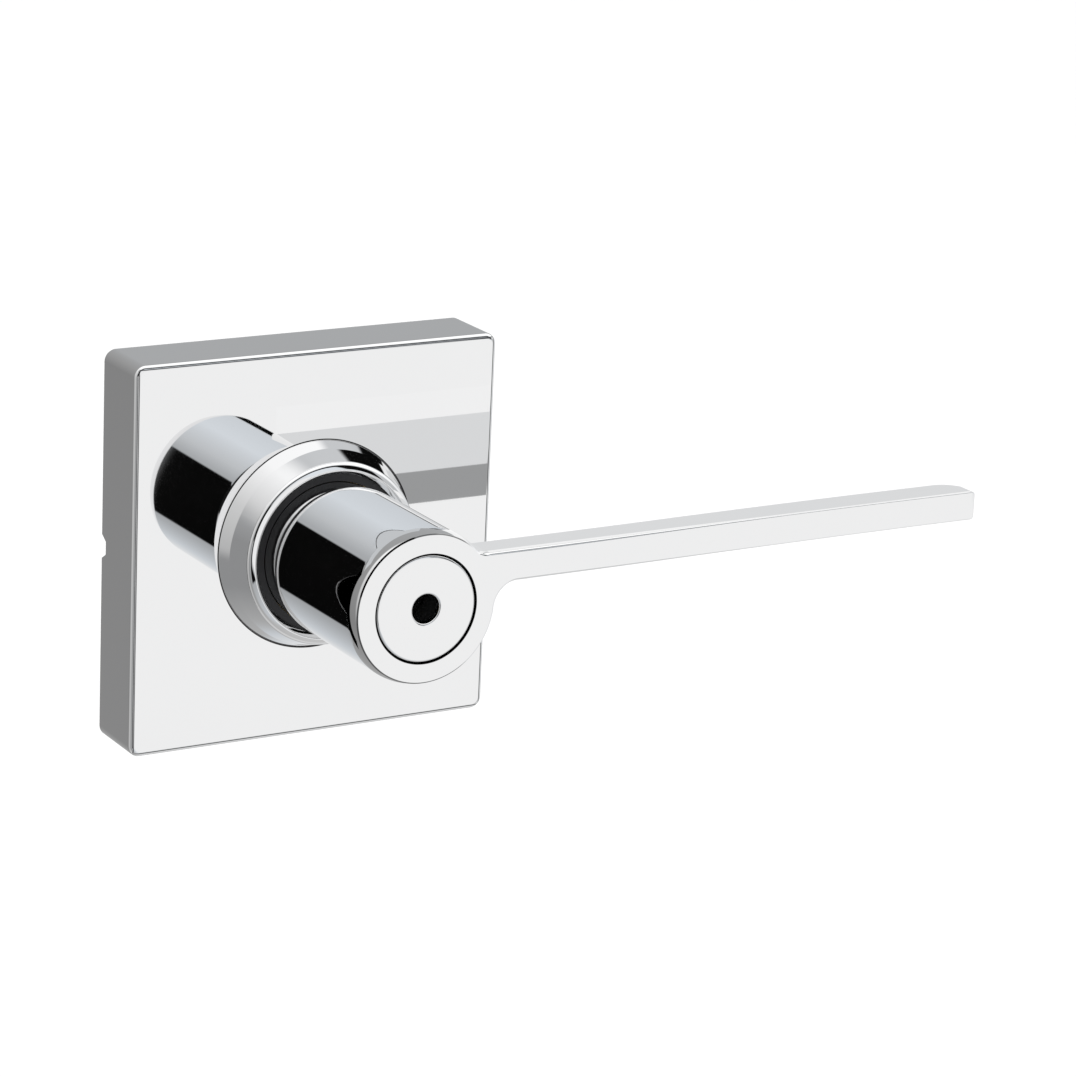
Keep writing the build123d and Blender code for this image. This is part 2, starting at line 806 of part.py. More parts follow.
nodes = {
    "rose_cover": rose_cover,
    "mounting_plate": mounting_plate,
    "through_posts": through_posts,
    "bore_ring": bore_ring,
    "rose_clips": rose_clips,
    "clip_rivets": clip_rivets,
    "spring_housing": spring_housing,
    "housing_screws": housing_screws,
    "bearing_bush": bearing_bush,
    "wear_ring": wear_ring,
    "stop_pins": stop_pins,
    "return_spring": return_spring,
    "lever_handle": lever_handle,
    "face_cap": face_cap,
    "cap_seal": cap_seal,
    "spindle_sleeve": spindle_sleeve,
    "sleeve_retaining_ring": sleeve_retaining_ring,
    "cam_retaining_ring": cam_retaining_ring,
    "drive_cam": drive_cam,
    "spindle": spindle,
    "spindle_clip": spindle_clip,
    "set_screw": set_screw,
    "release_guide": release_guide,
    "release_head": release_head,
    "release_rod": release_rod,
    "release_spring": release_spring,
}

os.makedirs("parts", exist_ok=True)
for name, make in nodes.items():
    made = make()
    pieces = made if isinstance(made, list) else [made]
    export_step(Compound(children=[Part(piece.wrapped) for piece in pieces]), f"parts/{name}.step")
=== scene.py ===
import json
import math

import bmesh
import bpy
import numpy as np
from mathutils import Matrix, Vector


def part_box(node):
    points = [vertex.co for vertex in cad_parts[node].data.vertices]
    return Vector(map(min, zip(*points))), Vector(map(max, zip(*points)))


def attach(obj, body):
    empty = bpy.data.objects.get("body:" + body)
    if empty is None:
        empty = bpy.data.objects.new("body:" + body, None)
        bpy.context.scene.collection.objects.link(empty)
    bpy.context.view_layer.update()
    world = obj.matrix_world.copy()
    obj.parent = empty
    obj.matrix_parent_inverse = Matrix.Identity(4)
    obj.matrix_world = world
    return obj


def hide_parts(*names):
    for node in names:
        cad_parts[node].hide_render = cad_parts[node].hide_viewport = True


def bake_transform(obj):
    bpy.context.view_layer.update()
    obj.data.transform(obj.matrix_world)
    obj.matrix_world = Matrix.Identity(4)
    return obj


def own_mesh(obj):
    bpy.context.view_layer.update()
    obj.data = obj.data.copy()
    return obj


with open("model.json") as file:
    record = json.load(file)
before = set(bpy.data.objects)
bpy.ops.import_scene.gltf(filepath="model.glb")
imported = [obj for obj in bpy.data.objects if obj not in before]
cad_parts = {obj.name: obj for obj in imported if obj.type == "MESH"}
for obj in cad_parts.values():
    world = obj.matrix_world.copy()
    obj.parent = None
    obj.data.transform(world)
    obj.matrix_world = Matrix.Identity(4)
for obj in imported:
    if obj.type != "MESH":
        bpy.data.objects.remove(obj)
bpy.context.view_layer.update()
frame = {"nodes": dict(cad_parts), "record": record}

# Door lever handle. Sizes in this file are millimetres, heights are measured out from the door's
# face along -Y, and meshes are made metres when they are built.
MM = 0.001


def reach(node, axis, side):
    """How far a CAD node reaches along an axis, in millimetres: side 0 is low and 1 is high."""
    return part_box(node)[side][axis] / MM


# ---- rose ----
ROSE_HALF = reach("rose_cover", 0, 1)
ROSE_DEPTH = 12.25
ROSE_WALL = 1.2
ROSE_FRONT_WALL = 1.4
ROSE_CORNER = 2.0
ROSE_EDGE = 0.9
ROSE_BACK_EDGE = 0.15
NOTCH_MOUTH = 2.15
NOTCH_FLOOR = 1.1
NOTCH_DEPTH = 1.65
NOTCH_FLARE = 0.6
BOSS_FRONT = -reach("rose_cover", 1, 0)
BOSS_FOOT = 17.9
BOSS_HOLE = 13.65
BOSS_FOOT_ROUND = 0.15
BOSS_SKIRT = (16.95, 14.6)
BOSS_SHOULDER = (15.6, 18.75)
BOSS_SHOULDER_ROUND = 1.2
BOSS_LIP = (14.45, BOSS_FRONT)
BOSS_LIP_ROUND = 0.35
BOSS_CAVITY = 15.0
BOSS_CAVITY_TOP = 17.95
AROUND_ROSE = 256

# ---- sleeve, neck and arm ----
SLEEVE = reach("spindle_sleeve", 0, 1)
SLEEVE_BACK = 1.0
SLEEVE_REAR = 11.2
SLEEVE_STEP = 10.7
SPIGOT = 10.4
SPIGOT_FRONT = -reach("spindle_sleeve", 1, 0)
SLEEVE_BORE = 7.0
SLEEVE_WEB = 14.0
NECK = reach("lever_handle", 2, 1)
NECK_FRONT = -reach("lever_handle", 1, 0)
NECK_BACK = -reach("lever_handle", 1, 1)
NECK_EASE_RUN = 2.8
NECK_EASE_DROP = 0.7
NECK_BORE_FLOOR = 37.4
NECK_BORE = 7.6
FRONT_EDGE = 0.42
FRONT_EDGE_OUT = 0.14
DISC_EASE_RUN = 2.65
DISC_EASE_DROP = 0.43
DISC_BEVEL = 0.25
DISC_BEVEL_DROP = 0.195
CAP_RECESS = 9.16
CAP_BACK = 49.6
ARM_TIP = reach("lever_handle", 0, 1)
ARM_THICKNESS = 6.0
ARM_LOW = (2.83, 3.04)
ARM_HIGH = (8.02, 7.95)
ARM_ROOT_HIGH = 3.0
ARM_ROOT_LOW = 4.25
ARM_TIP_CORNER = 0.6
ARM_TIP_BACK = 4.5
BOW_START = 24.0
BOW_TURN = 46.0
BOW_AT_TURN = 0.27
BOW_AT_TIP = 0.45
AROUND_NECK = 288
ROOT_PLACES = 17
TIP_PLACES = 13
EDGE_ROWS = 9
BEVEL_ROWS = 3
EDGE_THINS_FROM = 22.0
EDGE_THINS_OVER = 48.0

# ---- cap ----
CAP = reach("face_cap", 0, 1)
CAP_EDGE = 0.55
CAP_HOLE = 2.4
CAP_HOLE_EDGE = 0.4
CAP_SKIRT = 7.4
CAP_SKIRT_BORE = 5.4
CAP_SKIRT_BACK = -reach("face_cap", 1, 1)
SEAL_GROOVE = (46.4, 47.8)
SEAL_GROOVE_FLOOR = 6.4

# ---- set screw's hole and spindle's socket ----
SET_SCREW_HOLE = 2.55
SET_SCREW_HEIGHT = 29.0
SOCKET_HALF = 4.05

# ---- plate, posts and stop pins ----
PLATE = 2.0
POST_X = 19.0
POST = 3.5
POST_LENGTH = 17.0
POST_SHANK = 2.5
POST_HEAD = 1.0
POST_BORE = 1.65
POST_MOUTH = 0.3
POST_BORE_END = 4.2
POST_DRILL_POINT = 3.4
STOP_PIN = 1.5
STOP_PIN_TOP = 4.2
STOP_PIN_ORBIT = 20.5
STOP_ANGLE = 65.196

# ---- housing screws ----
SCREW = 1.5
SCREW_HEAD = 2.75
SCREW_SEAT = 4.0
SCREW_TOP = 5.8
SCREW_SLOT = 0.8
SCREW_POINT = 0.3
SCREW_ORBIT = 30.0

# ---- snap clips and their rivets ----
CLIP_X = 14.0
CLIP_HALF = 4.0
CLIP_THICK = 0.6
CLIP_FOOT = 6.2
CLIP_TOP = 6.0
CLIP_FACE = 31.55
HOOK_LOW = 4.4
HOOK_THICK = 1.0
HOOK_REACH = 31.95
RIVET = 1.2
RIVET_Z = 27.85
RIVET_SEAT = 2.6
RIVET_TOP = 3.2
RIVET_HEAD = 2.0
RIVET_DOME = 1.25

# ---- springs ----
RELEASE_COIL = 3.55
RELEASE_WIRE = 0.3
RELEASE_SHUT = 0.62
RELEASE_OPEN_TURNS = 6
RELEASE_PLAY = 0.03
RETURN_COIL = 14.8
RETURN_WIRE = 0.6
RETURN_PITCH = 1.25
RETURN_LEG_X = 2.65
RETURN_BEND = 0.9

# ---- the floor, below the rose ----
FLOOR_DROP = 90.0
FLOOR_HALF = 3000.0


# ======== meshes ========
def placed(name, data):
    """A new object in the scene, from its mesh, camera or lamp."""
    piece = bpy.data.objects.new(name, data)
    bpy.context.scene.collection.objects.link(piece)
    return piece


def shaped(name, points, edges, faces):
    """A new object from points in millimetres and the edges or faces between them."""
    mesh = bpy.data.meshes.new(name)
    mesh.from_pydata([Vector(point) * MM for point in points], edges, faces)
    return placed(name, mesh)


def solid(name, points, faces, material):
    """A closed mesh with smooth rounds and crisp creases, from points in millimetres."""
    return dressed(shaped(name, points, [], faces), material)


def dressed(piece, material, crease=32):
    """Closes the seams, turns the faces out, sets the creases and gives the piece its material."""
    if "custom_normal" in piece.data.attributes:
        piece.data.attributes.remove(piece.data.attributes["custom_normal"])
    shape = bmesh.new()
    shape.from_mesh(piece.data)
    bmesh.ops.remove_doubles(shape, verts=shape.verts, dist=1e-7)
    bmesh.ops.recalc_face_normals(shape, faces=shape.faces)
    shape.to_mesh(piece.data)
    shape.free()
    piece.data.shade_smooth()
    piece.data.set_sharp_from_angle(angle=math.radians(crease))
    weigh = piece.modifiers.new("weigh", "WEIGHTED_NORMAL")
    weigh.keep_sharp = True
    piece.data.materials.clear()
    piece.data.materials.append(material)
    return settled(piece)


def settled(piece):
    """The piece with its modifiers worked into its mesh."""
    view = bpy.context.evaluated_depsgraph_get()
    mesh = bpy.data.meshes.new_from_object(piece.evaluated_get(view), depsgraph=view)
    piece.modifiers.clear()
    piece.data = mesh
    mesh.name = piece.name
    return piece


def softened(corners, step=6):
    """A closed 2-D line through corners (x, y, round), with an arc of each corner's round."""
    line = []
    count = len(corners)
    for index, (x, y, size) in enumerate(corners):
        here = np.array((x, y))
        if not size:
            line.append((x, y))
            continue
        before = np.array(corners[index - 1][:2])
        after = np.array(corners[(index + 1) % count][:2])
        into, out = here - before, after - here
        into, out = into / np.linalg.norm(into), out / np.linalg.norm(out)
        turn = math.atan2(into[0] * out[1] - into[1] * out[0], into @ out)
        reach_back = size * math.tan(abs(turn) / 2)
        side = math.copysign(1, turn)
        centre = here - into * reach_back + side * size * np.array((-into[1], into[0]))
        first = here - into * reach_back - centre
        steps = max(2, round(abs(math.degrees(turn)) / step))
        for part in range(steps + 1):
            angle = turn * part / steps
            c, s = math.cos(angle), math.sin(angle)
            line.append(tuple(centre + (c * first[0] - s * first[1], s * first[0] + c * first[1])))
    return line


def turned(name, corners, material, around):
    """A closed outline of (radius, height, round) corners turned about the lever's axis."""
    return solid(name, *turned_mesh(softened(corners), around), material)


def turned_mesh(line, around):
    """Points and faces of a closed (radius, height) line turned about the Y axis."""
    points, starts = [], []
    for radius, height in line:
        starts.append(len(points))
        if radius < 1e-6:
            points.append((0.0, -height, 0.0))
            continue
        for index in range(around):
            angle = 2 * math.pi * index / around
            points.append((radius * math.cos(angle), -height, radius * math.sin(angle)))
    faces = []
    for row in range(len(line)):
        upper = (row + 1) % len(line)
        pole_low, pole_up = line[row][0] < 1e-6, line[upper][0] < 1e-6
        if pole_low and pole_up:
            continue
        for index in range(around):
            ahead = (index + 1) % around
            low = [starts[row]] if pole_low else [starts[row] + index, starts[row] + ahead]
            high = [starts[upper]] if pole_up else [starts[upper] + ahead, starts[upper] + index]
            faces.append(low + high)
    return points, faces


def carved(piece, cutter):
    """Takes the cutter's solid out of the piece."""
    cut = piece.modifiers.new("cut", "BOOLEAN")
    cut.operation, cut.solver, cut.object = "DIFFERENCE", "EXACT", cutter
    material = piece.data.materials[0]
    settled(piece)
    bpy.data.objects.remove(cutter)
    return dressed(piece, material)


def square_loop(half, corner, height):
    """Points round a square with rounded corners, starting on +X as a turned loop does."""
    quarter = AROUND_ROSE // 4
    arc = quarter // 4
    points = []
    for side in range(4):
        corner_line = []
        for part in range(arc + 1):
            angle = math.pi / 2 * part / arc
            corner_line.append(
                (half - corner + corner * math.cos(angle), half - corner + corner * math.sin(angle))
            )
        straight = quarter - arc
        for part in range(1, straight):
            x = (half - corner) * (1 - 2 * part / straight)
            corner_line.append((x, half))
        turn = math.pi / 2 * side
        c, s = math.cos(turn), math.sin(turn)
        points += [(c * x - s * z, -height, s * x + c * z) for x, z in corner_line]
    return points


def circle_loop(radius, height):
    """Points round a circle, in step with square_loop."""
    square = square_loop(1.0, 0.5, 0)
    angles = [math.atan2(z, x) for x, _, z in square]
    return [(radius * math.cos(angle), -height, radius * math.sin(angle)) for angle in angles]


def skinned(loops):
    """Points and faces of a closed skin over a closed row of equal loops."""
    points = [point for loop in loops for point in loop]
    around = len(loops[0])
    faces = []
    for row in range(len(loops)):
        upper = (row + 1) % len(loops)
        for index in range(around):
            ahead = (index + 1) % around
            faces.append(
                (row * around + index, row * around + ahead, upper * around + ahead, upper * around + index)
            )
    return points, faces


def prism(name, first_end, last_end, material):
    """A four-sided block from the corners of its two ends, to cut with."""
    faces = [(0, 1, 2, 3), (4, 5, 6, 7), (0, 1, 5, 4), (1, 2, 6, 5), (2, 3, 7, 6), (3, 0, 4, 7)]
    return solid(name, first_end + last_end, faces, material)


def rose_cover(material):
    """Square cover with its hollow, raised boss and pry notches."""
    inner = ROSE_HALF - ROSE_WALL
    inner_top = ROSE_DEPTH - ROSE_FRONT_WALL
    side = softened(
        [
            (inner, inner_top, 0),
            (inner, 0, 0),
            (ROSE_HALF, 0, ROSE_BACK_EDGE),
            (ROSE_HALF, ROSE_DEPTH, ROSE_EDGE),
            (BOSS_FOOT, ROSE_DEPTH, BOSS_FOOT_ROUND),
            (*BOSS_SKIRT, 4.0),
            (*BOSS_SHOULDER, BOSS_SHOULDER_ROUND),
            (*BOSS_LIP, BOSS_LIP_ROUND),
            (BOSS_HOLE, BOSS_FRONT - 0.9, 0.25),
            (BOSS_HOLE, BOSS_CAVITY_TOP, 0),
            (BOSS_CAVITY, BOSS_CAVITY_TOP, 0),
            (BOSS_CAVITY, inner_top, 0),
        ]
    )
    loops = []
    for radius, height in side:
        if radius > BOSS_FOOT + 1:
            corner = ROSE_CORNER - (ROSE_HALF - radius)
            loops.append(square_loop(radius, corner, height))
        else:
            loops.append(circle_loop(radius, height))
    cover = solid("rose_shell", *skinned(loops), material)
    far = ROSE_HALF * 2
    # the notch's slanted sides run on out of the rim
    notch = [(-far, 1, -NOTCH_MOUTH - NOTCH_FLARE), (-far, 1, NOTCH_MOUTH + NOTCH_FLARE)]
    notch += [(-far, -NOTCH_DEPTH, NOTCH_FLOOR), (-far, -NOTCH_DEPTH, -NOTCH_FLOOR)]
    return carved(cover, prism("notch", notch, [(far, y, z) for _, y, z in notch], material))


# ---- the lever ----
def bow(x):
    """How far the arm's front face is set back at a place along it."""
    first = (BOW_TURN - BOW_START, BOW_AT_TURN)
    radius = (first[0] ** 2 + first[1] ** 2) / (2 * first[1])
    if x <= BOW_START:
        return 0.0
    if x <= BOW_TURN:
        return radius - math.sqrt(radius**2 - (x - BOW_START) ** 2)
    lean = math.asin(first[0] / radius)
    tangent = np.array((math.cos(lean), math.sin(lean)))
    chord = np.array((ARM_TIP - BOW_TURN, BOW_AT_TIP - BOW_AT_TURN))
    normal = np.array((tangent[1], -tangent[0]))
    back_radius = (chord @ chord) / (2 * (chord @ normal))
    centre = np.array((BOW_TURN, BOW_AT_TURN)) + back_radius * normal
    return centre[1] + math.sqrt(back_radius**2 - (x - centre[0]) ** 2)


def back_of_arm(x):
    """Height of the arm's back face at a place along it, with the round at the tip."""
    into = max(0.0, x - (ARM_TIP - ARM_TIP_BACK))
    sweep = ARM_TIP_BACK - math.sqrt(max(0.0, ARM_TIP_BACK**2 - into**2))
    return NECK_FRONT - bow(min(x, ARM_TIP)) - ARM_THICKNESS + sweep


def side_line(line, root, upper):
    """One long side of the arm, from where it leaves the disc to the middle of the tip.

    Gives (x, z, outward x, outward z) at each place. The lower side is the upper one mirrored.
    """
    flip = 1 if upper else -1
    slope = (line[1] - line[0]) / ARM_TIP * flip
    lean = math.atan(slope)
    start = line[0] * flip
    # the root's round touches the disc and the side
    wide = NECK + root
    gap = start * math.cos(lean) + root
    centre_angle = lean + math.asin(gap / wide)
    centre = np.array((wide * math.cos(centre_angle), wide * math.sin(centre_angle)))
    places = []
    first, last = math.pi + centre_angle, 1.5 * math.pi + lean
    for part in range(ROOT_PLACES):
        angle = first + (last - first) * part / (ROOT_PLACES - 1)
        out = -np.array((math.cos(angle), math.sin(angle)))
        places.append((*(centre - out * root), *out))
    corner = ARM_TIP_CORNER
    end = ARM_TIP - corner * (1 + math.tan(lean))
    begin = places[-1][0]
    stations = [x for x in np.arange(20.0, ARM_TIP - ARM_TIP_BACK, 2.0) if x > begin + 1]
    tip_turns = np.radians(np.arange(0, 75, 5))
    stations += [ARM_TIP - ARM_TIP_BACK * (1 - math.sin(turn)) for turn in tip_turns]
    out = (-math.sin(lean), math.cos(lean))
    for x in stations:
        if x < end - 0.05:
            places.append((x, start + slope * x, *out))
    middle = np.array((ARM_TIP - corner, start + slope * end - corner * math.cos(lean)))
    for part in range(TIP_PLACES):
        angle = math.pi / 2 + lean - (math.pi / 2 + lean) * part / (TIP_PLACES - 1)
        out = np.array((math.cos(angle), math.sin(angle)))
        places.append((*(middle + out * corner), *out))
    return [(x, z * flip, out_x, out_z * flip) for x, z, out_x, out_z in places]


def front_edge(part, on_arm, x):
    """Inset and drop of one of the front edge's rows: a round on the arm, a bevel and ease on the disc."""
    angle = math.pi / 2 * part / (EDGE_ROWS - 1)
    thinning = min(1.0, max(0.0, (x - EDGE_THINS_FROM) / EDGE_THINS_OVER))
    size = FRONT_EDGE + (FRONT_EDGE_OUT - FRONT_EDGE) * thinning
    arm = np.array((size * (1 - math.sin(angle)), size * (1 - math.cos(angle))))
    if part < BEVEL_ROWS:
        disc = (DISC_EASE_DROP + DISC_BEVEL * (1 - part / 2), DISC_BEVEL_DROP * part / 2)
    else:
        share = (part - 2) / (EDGE_ROWS - BEVEL_ROWS)
        drop = DISC_BEVEL_DROP + (DISC_EASE_RUN - DISC_BEVEL_DROP) * share
        disc = (DISC_EASE_DROP * (1 - share) ** 2, drop)
    return np.array(disc) * (1 - on_arm) + arm * on_arm


def lever_handle(material):
    """Disc head, bowed arm and hollow neck as one closed skin."""
    high = side_line(ARM_HIGH, ARM_ROOT_HIGH, True)
    low = side_line(ARM_LOW, ARM_ROOT_LOW, False)
    first = math.atan2(low[0][1], low[0][0])
    last = math.atan2(high[0][1], high[0][0])
    inside_count = round(AROUND_NECK * (last - first) / (2 * math.pi))
    outside_count = AROUND_NECK - inside_count
    inside = [first + (last - first) * k / inside_count for k in range(inside_count + 1)]
    outside = [
        last + (2 * math.pi + first - last) * k / outside_count for k in range(outside_count + 1)
    ]
    disc = [(NECK * math.cos(a), NECK * math.sin(a), math.cos(a), math.sin(a)) for a in outside]
    outline = disc[:-1] + low + high[:0:-1]
    outer = len(disc) - 1
    low_at = [outer + k for k in range(len(low))]
    high_at = [0] + [len(outline) - k for k in range(1, len(high))]

    points, faces = [], []

    def add(new):
        points.extend(new)
        return list(range(len(points) - len(new), len(points)))

    def strip(one, two):
        for k in range(len(one)):
            ahead = (k + 1) % len(one)
            faces.append((one[k], one[ahead], two[ahead], two[k]))

    # the front edge's round, from the front face to the sides, then the sides
    rows = []
    for part in range(EDGE_ROWS):
        row = []
        for index, (x, z, ox, oz) in enumerate(outline):
            along = min(index - outer, len(outline) - index) if index >= outer else 0
            inset, drop = front_edge(part, min(1.0, along / (ROOT_PLACES - 1)), x)
            row.append((x - ox * inset, -(NECK_FRONT - bow(x - ox * inset) - drop), z - oz * inset))
        rows.append(add(row))
    base = add([(x, -back_of_arm(max(x, 0)), z) for x, z, _, _ in outline])
    rows.append(base)
    for one, two in zip(rows, rows[1:]):
        strip(one, two)

    # the arm's front and back faces, rung by rung, and their flat ends at the disc
    def rungs(row, first_rung):
        for k in range(first_rung, len(low) - 1):
            lower, higher = (row[low_at[k]], row[low_at[k + 1]]), (row[high_at[k + 1]], row[high_at[k]])
            faces.append(lower + higher)

    front = rows[0]
    rungs(front, 0)
    a, b = np.array(points[front[low_at[0]]]), np.array(points[front[high_at[0]]])
    chord = [tuple(a + (b - a) * k / inside_count) for k in range(1, inside_count)]
    chord_at = add(chord)
    ring_angles = outside[:-1] + inside[:-1]
    rim = front[:outer] + [front[low_at[0]]] + chord_at
    recess = [(CAP_RECESS * math.cos(a), CAP_RECESS * math.sin(a)) for a in ring_angles]
    recess_low = add([(x, -CAP_BACK, z) for x, z in recess])
    lip = add([(x, -NECK_FRONT, z) for x, z in recess])
    strip(rim, lip)
    strip(lip, recess_low)
    # the first rung shares its edge with the chord's points
    faces.remove((front[low_at[0]], front[low_at[1]], front[high_at[1]], front[high_at[0]]))
    first_rung = [front[low_at[1]], front[high_at[1]], front[high_at[0]]]
    faces.append(first_rung + chord_at[::-1] + [front[low_at[0]]])

    neck_top = NECK_FRONT - ARM_THICKNESS
    arc = add([(NECK * math.cos(a), -neck_top, NECK * math.sin(a)) for a in inside[1:-1]])
    rungs(base, ROOT_PLACES - 1)
    flat = [base[high_at[k]] for k in range(ROOT_PLACES)][::-1] + arc[::-1]
    faces.append(flat + [base[low_at[k]] for k in range(ROOT_PLACES)])

    # the neck, its eased back end and its bores
    ease = (NECK_EASE_RUN**2 + NECK_EASE_DROP**2) / (2 * NECK_EASE_DROP)
    sweep = math.asin(NECK_EASE_RUN / ease)
    profile = [(NECK, NECK_BACK + NECK_EASE_RUN)]
    for part in range(1, 9):
        angle = sweep * part / 8
        radius = NECK - ease * (1 - math.cos(angle))
        profile.append((radius, NECK_BACK + NECK_EASE_RUN - ease * math.sin(angle)))
    profile += [(SPIGOT, NECK_BACK), (SPIGOT, NECK_BORE_FLOOR), (NECK_BORE, NECK_BORE_FLOOR)]
    profile += [(NECK_BORE, CAP_BACK)]
    above = base[:outer] + [base[low_at[0]]] + arc
    for radius, height in profile:
        below = add([(radius * math.cos(a), -height, radius * math.sin(a)) for a in ring_angles])
        strip(above, below)
        above = below
    strip(above, recess_low)
    lever = solid("lever_casting", points, faces, material)
    line = [(0, 0), (SET_SCREW_HOLE, 0), (SET_SCREW_HOLE, NECK + 1), (0, NECK + 1)]
    hole, sides = turned_mesh(line, 64)
    hole = [(x, z - SET_SCREW_HEIGHT, y) for x, y, z in hole]
    return carved(lever, solid("screw_hole", hole, sides, material))


def face_cap(material):
    """Round cap with a soft edge, its skirt with the seal's groove, and the release hole."""
    cap = [(CAP_HOLE, CAP_BACK, 0), (CAP_SKIRT_BORE, CAP_BACK, 0), (CAP_SKIRT_BORE, CAP_SKIRT_BACK, 0)]
    low, high = SEAL_GROOVE
    cap += [(CAP_SKIRT, CAP_SKIRT_BACK, 0.2), (CAP_SKIRT, low, 0), (SEAL_GROOVE_FLOOR, low, 0)]
    cap += [(SEAL_GROOVE_FLOOR, high, 0), (CAP_SKIRT, high, 0), (CAP_SKIRT, CAP_BACK, 0), (CAP, CAP_BACK, 0)]
    cap += [(CAP, NECK_FRONT, CAP_EDGE), (CAP_HOLE, NECK_FRONT, CAP_HOLE_EDGE)]
    return turned("cap_disc", cap, material, AROUND_NECK)


def spindle_sleeve(material):
    """Stepped sleeve with its skirt under the neck, its bore and the square socket."""
    line = [(0, SLEEVE_WEB, 0), (0, SLEEVE_BACK, 0), (SLEEVE_REAR, SLEEVE_BACK, 0.3)]
    line += [(SLEEVE_REAR, SLEEVE_STEP, 0), (SLEEVE, SLEEVE_STEP, 0.2), (SLEEVE, NECK_BACK, 0)]
    line += [(SPIGOT, NECK_BACK, 0), (SPIGOT, SPIGOT_FRONT, 0.4), (SLEEVE_BORE, SPIGOT_FRONT, 0)]
    line += [(SLEEVE_BORE, SLEEVE_WEB, 0)]
    sleeve = turned("sleeve_body", line, material, 240)
    s = SOCKET_HALF
    corners = [(-s, -s), (s, -s), (s, s), (-s, s)]
    back, front = ([(x, y, z) for x, z in corners] for y in (1.0, -SLEEVE_WEB - 1))
    return carved(sleeve, prism("socket", back, front, material))


def smoothed(node, material):
    """A copy of a CAD node with its seams merged and its rounds shaded smooth."""
    piece = frame["nodes"][node].copy()
    piece.data = frame["nodes"][node].data.copy()
    piece.name = node + "_finished"
    bpy.context.scene.collection.objects.link(piece)
    return dressed(piece, material, 28)


# ======== pieces grown by geometry nodes ========
class Growth:
    """A geometry tree with named inputs, and the modifier that runs it on a base mesh."""

    def __init__(self, name, inputs):
        self.tree = bpy.data.node_groups.new(name, "GeometryNodeTree")
        self.sockets = {}
        for title, kind in (("Base", "NodeSocketGeometry"), *inputs.items()):
            self.sockets[title] = self.tree.interface.new_socket(title, in_out="INPUT", socket_type=kind)
        self.tree.interface.new_socket("Grown", in_out="OUTPUT", socket_type="NodeSocketGeometry")
        self.start = self.tree.nodes.new("NodeGroupInput")
        self.end = self.tree.nodes.new("NodeGroupOutput")

    def node(self, kind, settings=None, **sockets):
        """A node with its settings, and its sockets by name (an underscore stands for a space)."""
        made = self.tree.nodes.new(kind)
        for name, value in (settings or {}).items():
            setattr(made, name, value)
        for name, value in sockets.items():
            socket = made.inputs[name.replace("_", " ")]
            if isinstance(value, bpy.types.NodeSocket):
                self.tree.links.new(value, socket)
            else:
                socket.default_value = value
        return made.outputs[0]

    def given(self, title):
        return self.start.outputs[title]

    def finish(self, grown):
        """Ends the tree in real geometry with the piece's material."""
        real = self.node("GeometryNodeRealizeInstances", Geometry=grown)
        dressed_up = self.node("GeometryNodeSetMaterial", Geometry=real, Material=self.given("Finish"))
        self.tree.links.new(dressed_up, self.end.inputs[0])
        return self

    def grow(self, piece, values):
        """Runs the tree on the piece's own mesh with these values of its named inputs."""
        modifier = piece.modifiers.new("growth", "NODES")
        modifier.node_group = self.tree
        for title, value in values.items():
            modifier[self.sockets[title].identifier] = value
        settled(piece)
        return piece


def wire_growth():
    """A round wire along the base's line of points."""
    growth = Growth("wire_along_line", {
        "Radius": "NodeSocketFloat",
        "Around": "NodeSocketInt",
        "Finish": "NodeSocketMaterial",
    })
    line = growth.node("GeometryNodeMeshToCurve", Mesh=growth.given("Base"))
    section = growth.node(
        "GeometryNodeCurvePrimitiveCircle", Resolution=growth.given("Around"), Radius=growth.given("Radius")
    )
    wire = growth.node("GeometryNodeCurveToMesh", Curve=line, Profile_Curve=section, Fill_Caps=True)
    return growth.finish(wire)


def repeat_growth():
    """The given shape at each of the base's points, turned about Y by the point's turn."""
    growth = Growth("shape_at_points", {"Shape": "NodeSocketObject", "Finish": "NodeSocketMaterial"})
    shape = growth.node("GeometryNodeObjectInfo", Object=growth.given("Shape"))
    shape = next(out for out in shape.node.outputs if out.name == "Geometry")
    turn = growth.node("GeometryNodeInputNamedAttribute", {"data_type": "FLOAT_VECTOR"}, Name="turn")
    turn = growth.node("FunctionNodeEulerToRotation", Euler=turn)
    copies = growth.node(
        "GeometryNodeInstanceOnPoints", Points=growth.given("Base"), Instance=shape, Rotation=turn
    )
    return growth.finish(copies)


WIRE = wire_growth()
REPEAT = repeat_growth()


def wire(name, points, radius, material, around):
    """A round wire along a line of points in millimetres."""
    piece = shaped(name, points, [(k, k + 1) for k in range(len(points) - 1)], [])
    WIRE.grow(piece, {"Radius": radius * MM, "Around": around, "Finish": material})
    return dressed(piece, material, 50)


def repeated(name, shape, places, material):
    """Copies of a shape at places (x, z, turn in degrees), as one mesh; the shape is used up."""
    piece = shaped(name, [(x, 0, z) for x, z, _ in places], [], [])
    turn = piece.data.attributes.new("turn", "FLOAT_VECTOR", "POINT")
    for k, (_, _, angle) in enumerate(places):
        turn.data[k].vector = (0, math.radians(-angle), 0)
    REPEAT.grow(piece, {"Shape": shape, "Finish": material})
    bpy.data.objects.remove(shape)
    return dressed(piece, material)


def helix(mean, start_height, angle, pitches, steps=48):
    """Points of a coil about Y, from an angle on; each of its pitches is one turn or a share of one."""
    points, height = [], start_height
    for share, pitch in pitches:
        count = max(2, round(abs(share) * steps))
        for k in range(count):
            a = math.radians(angle) + 2 * math.pi * share * k / count
            here = height + pitch * abs(share) * k / count
            points.append((mean * math.cos(a), -here, mean * math.sin(a)))
        angle += 360 * share
        height += pitch * abs(share)
    a = math.radians(angle)
    points.append((mean * math.cos(a), -height, mean * math.sin(a)))
    return points


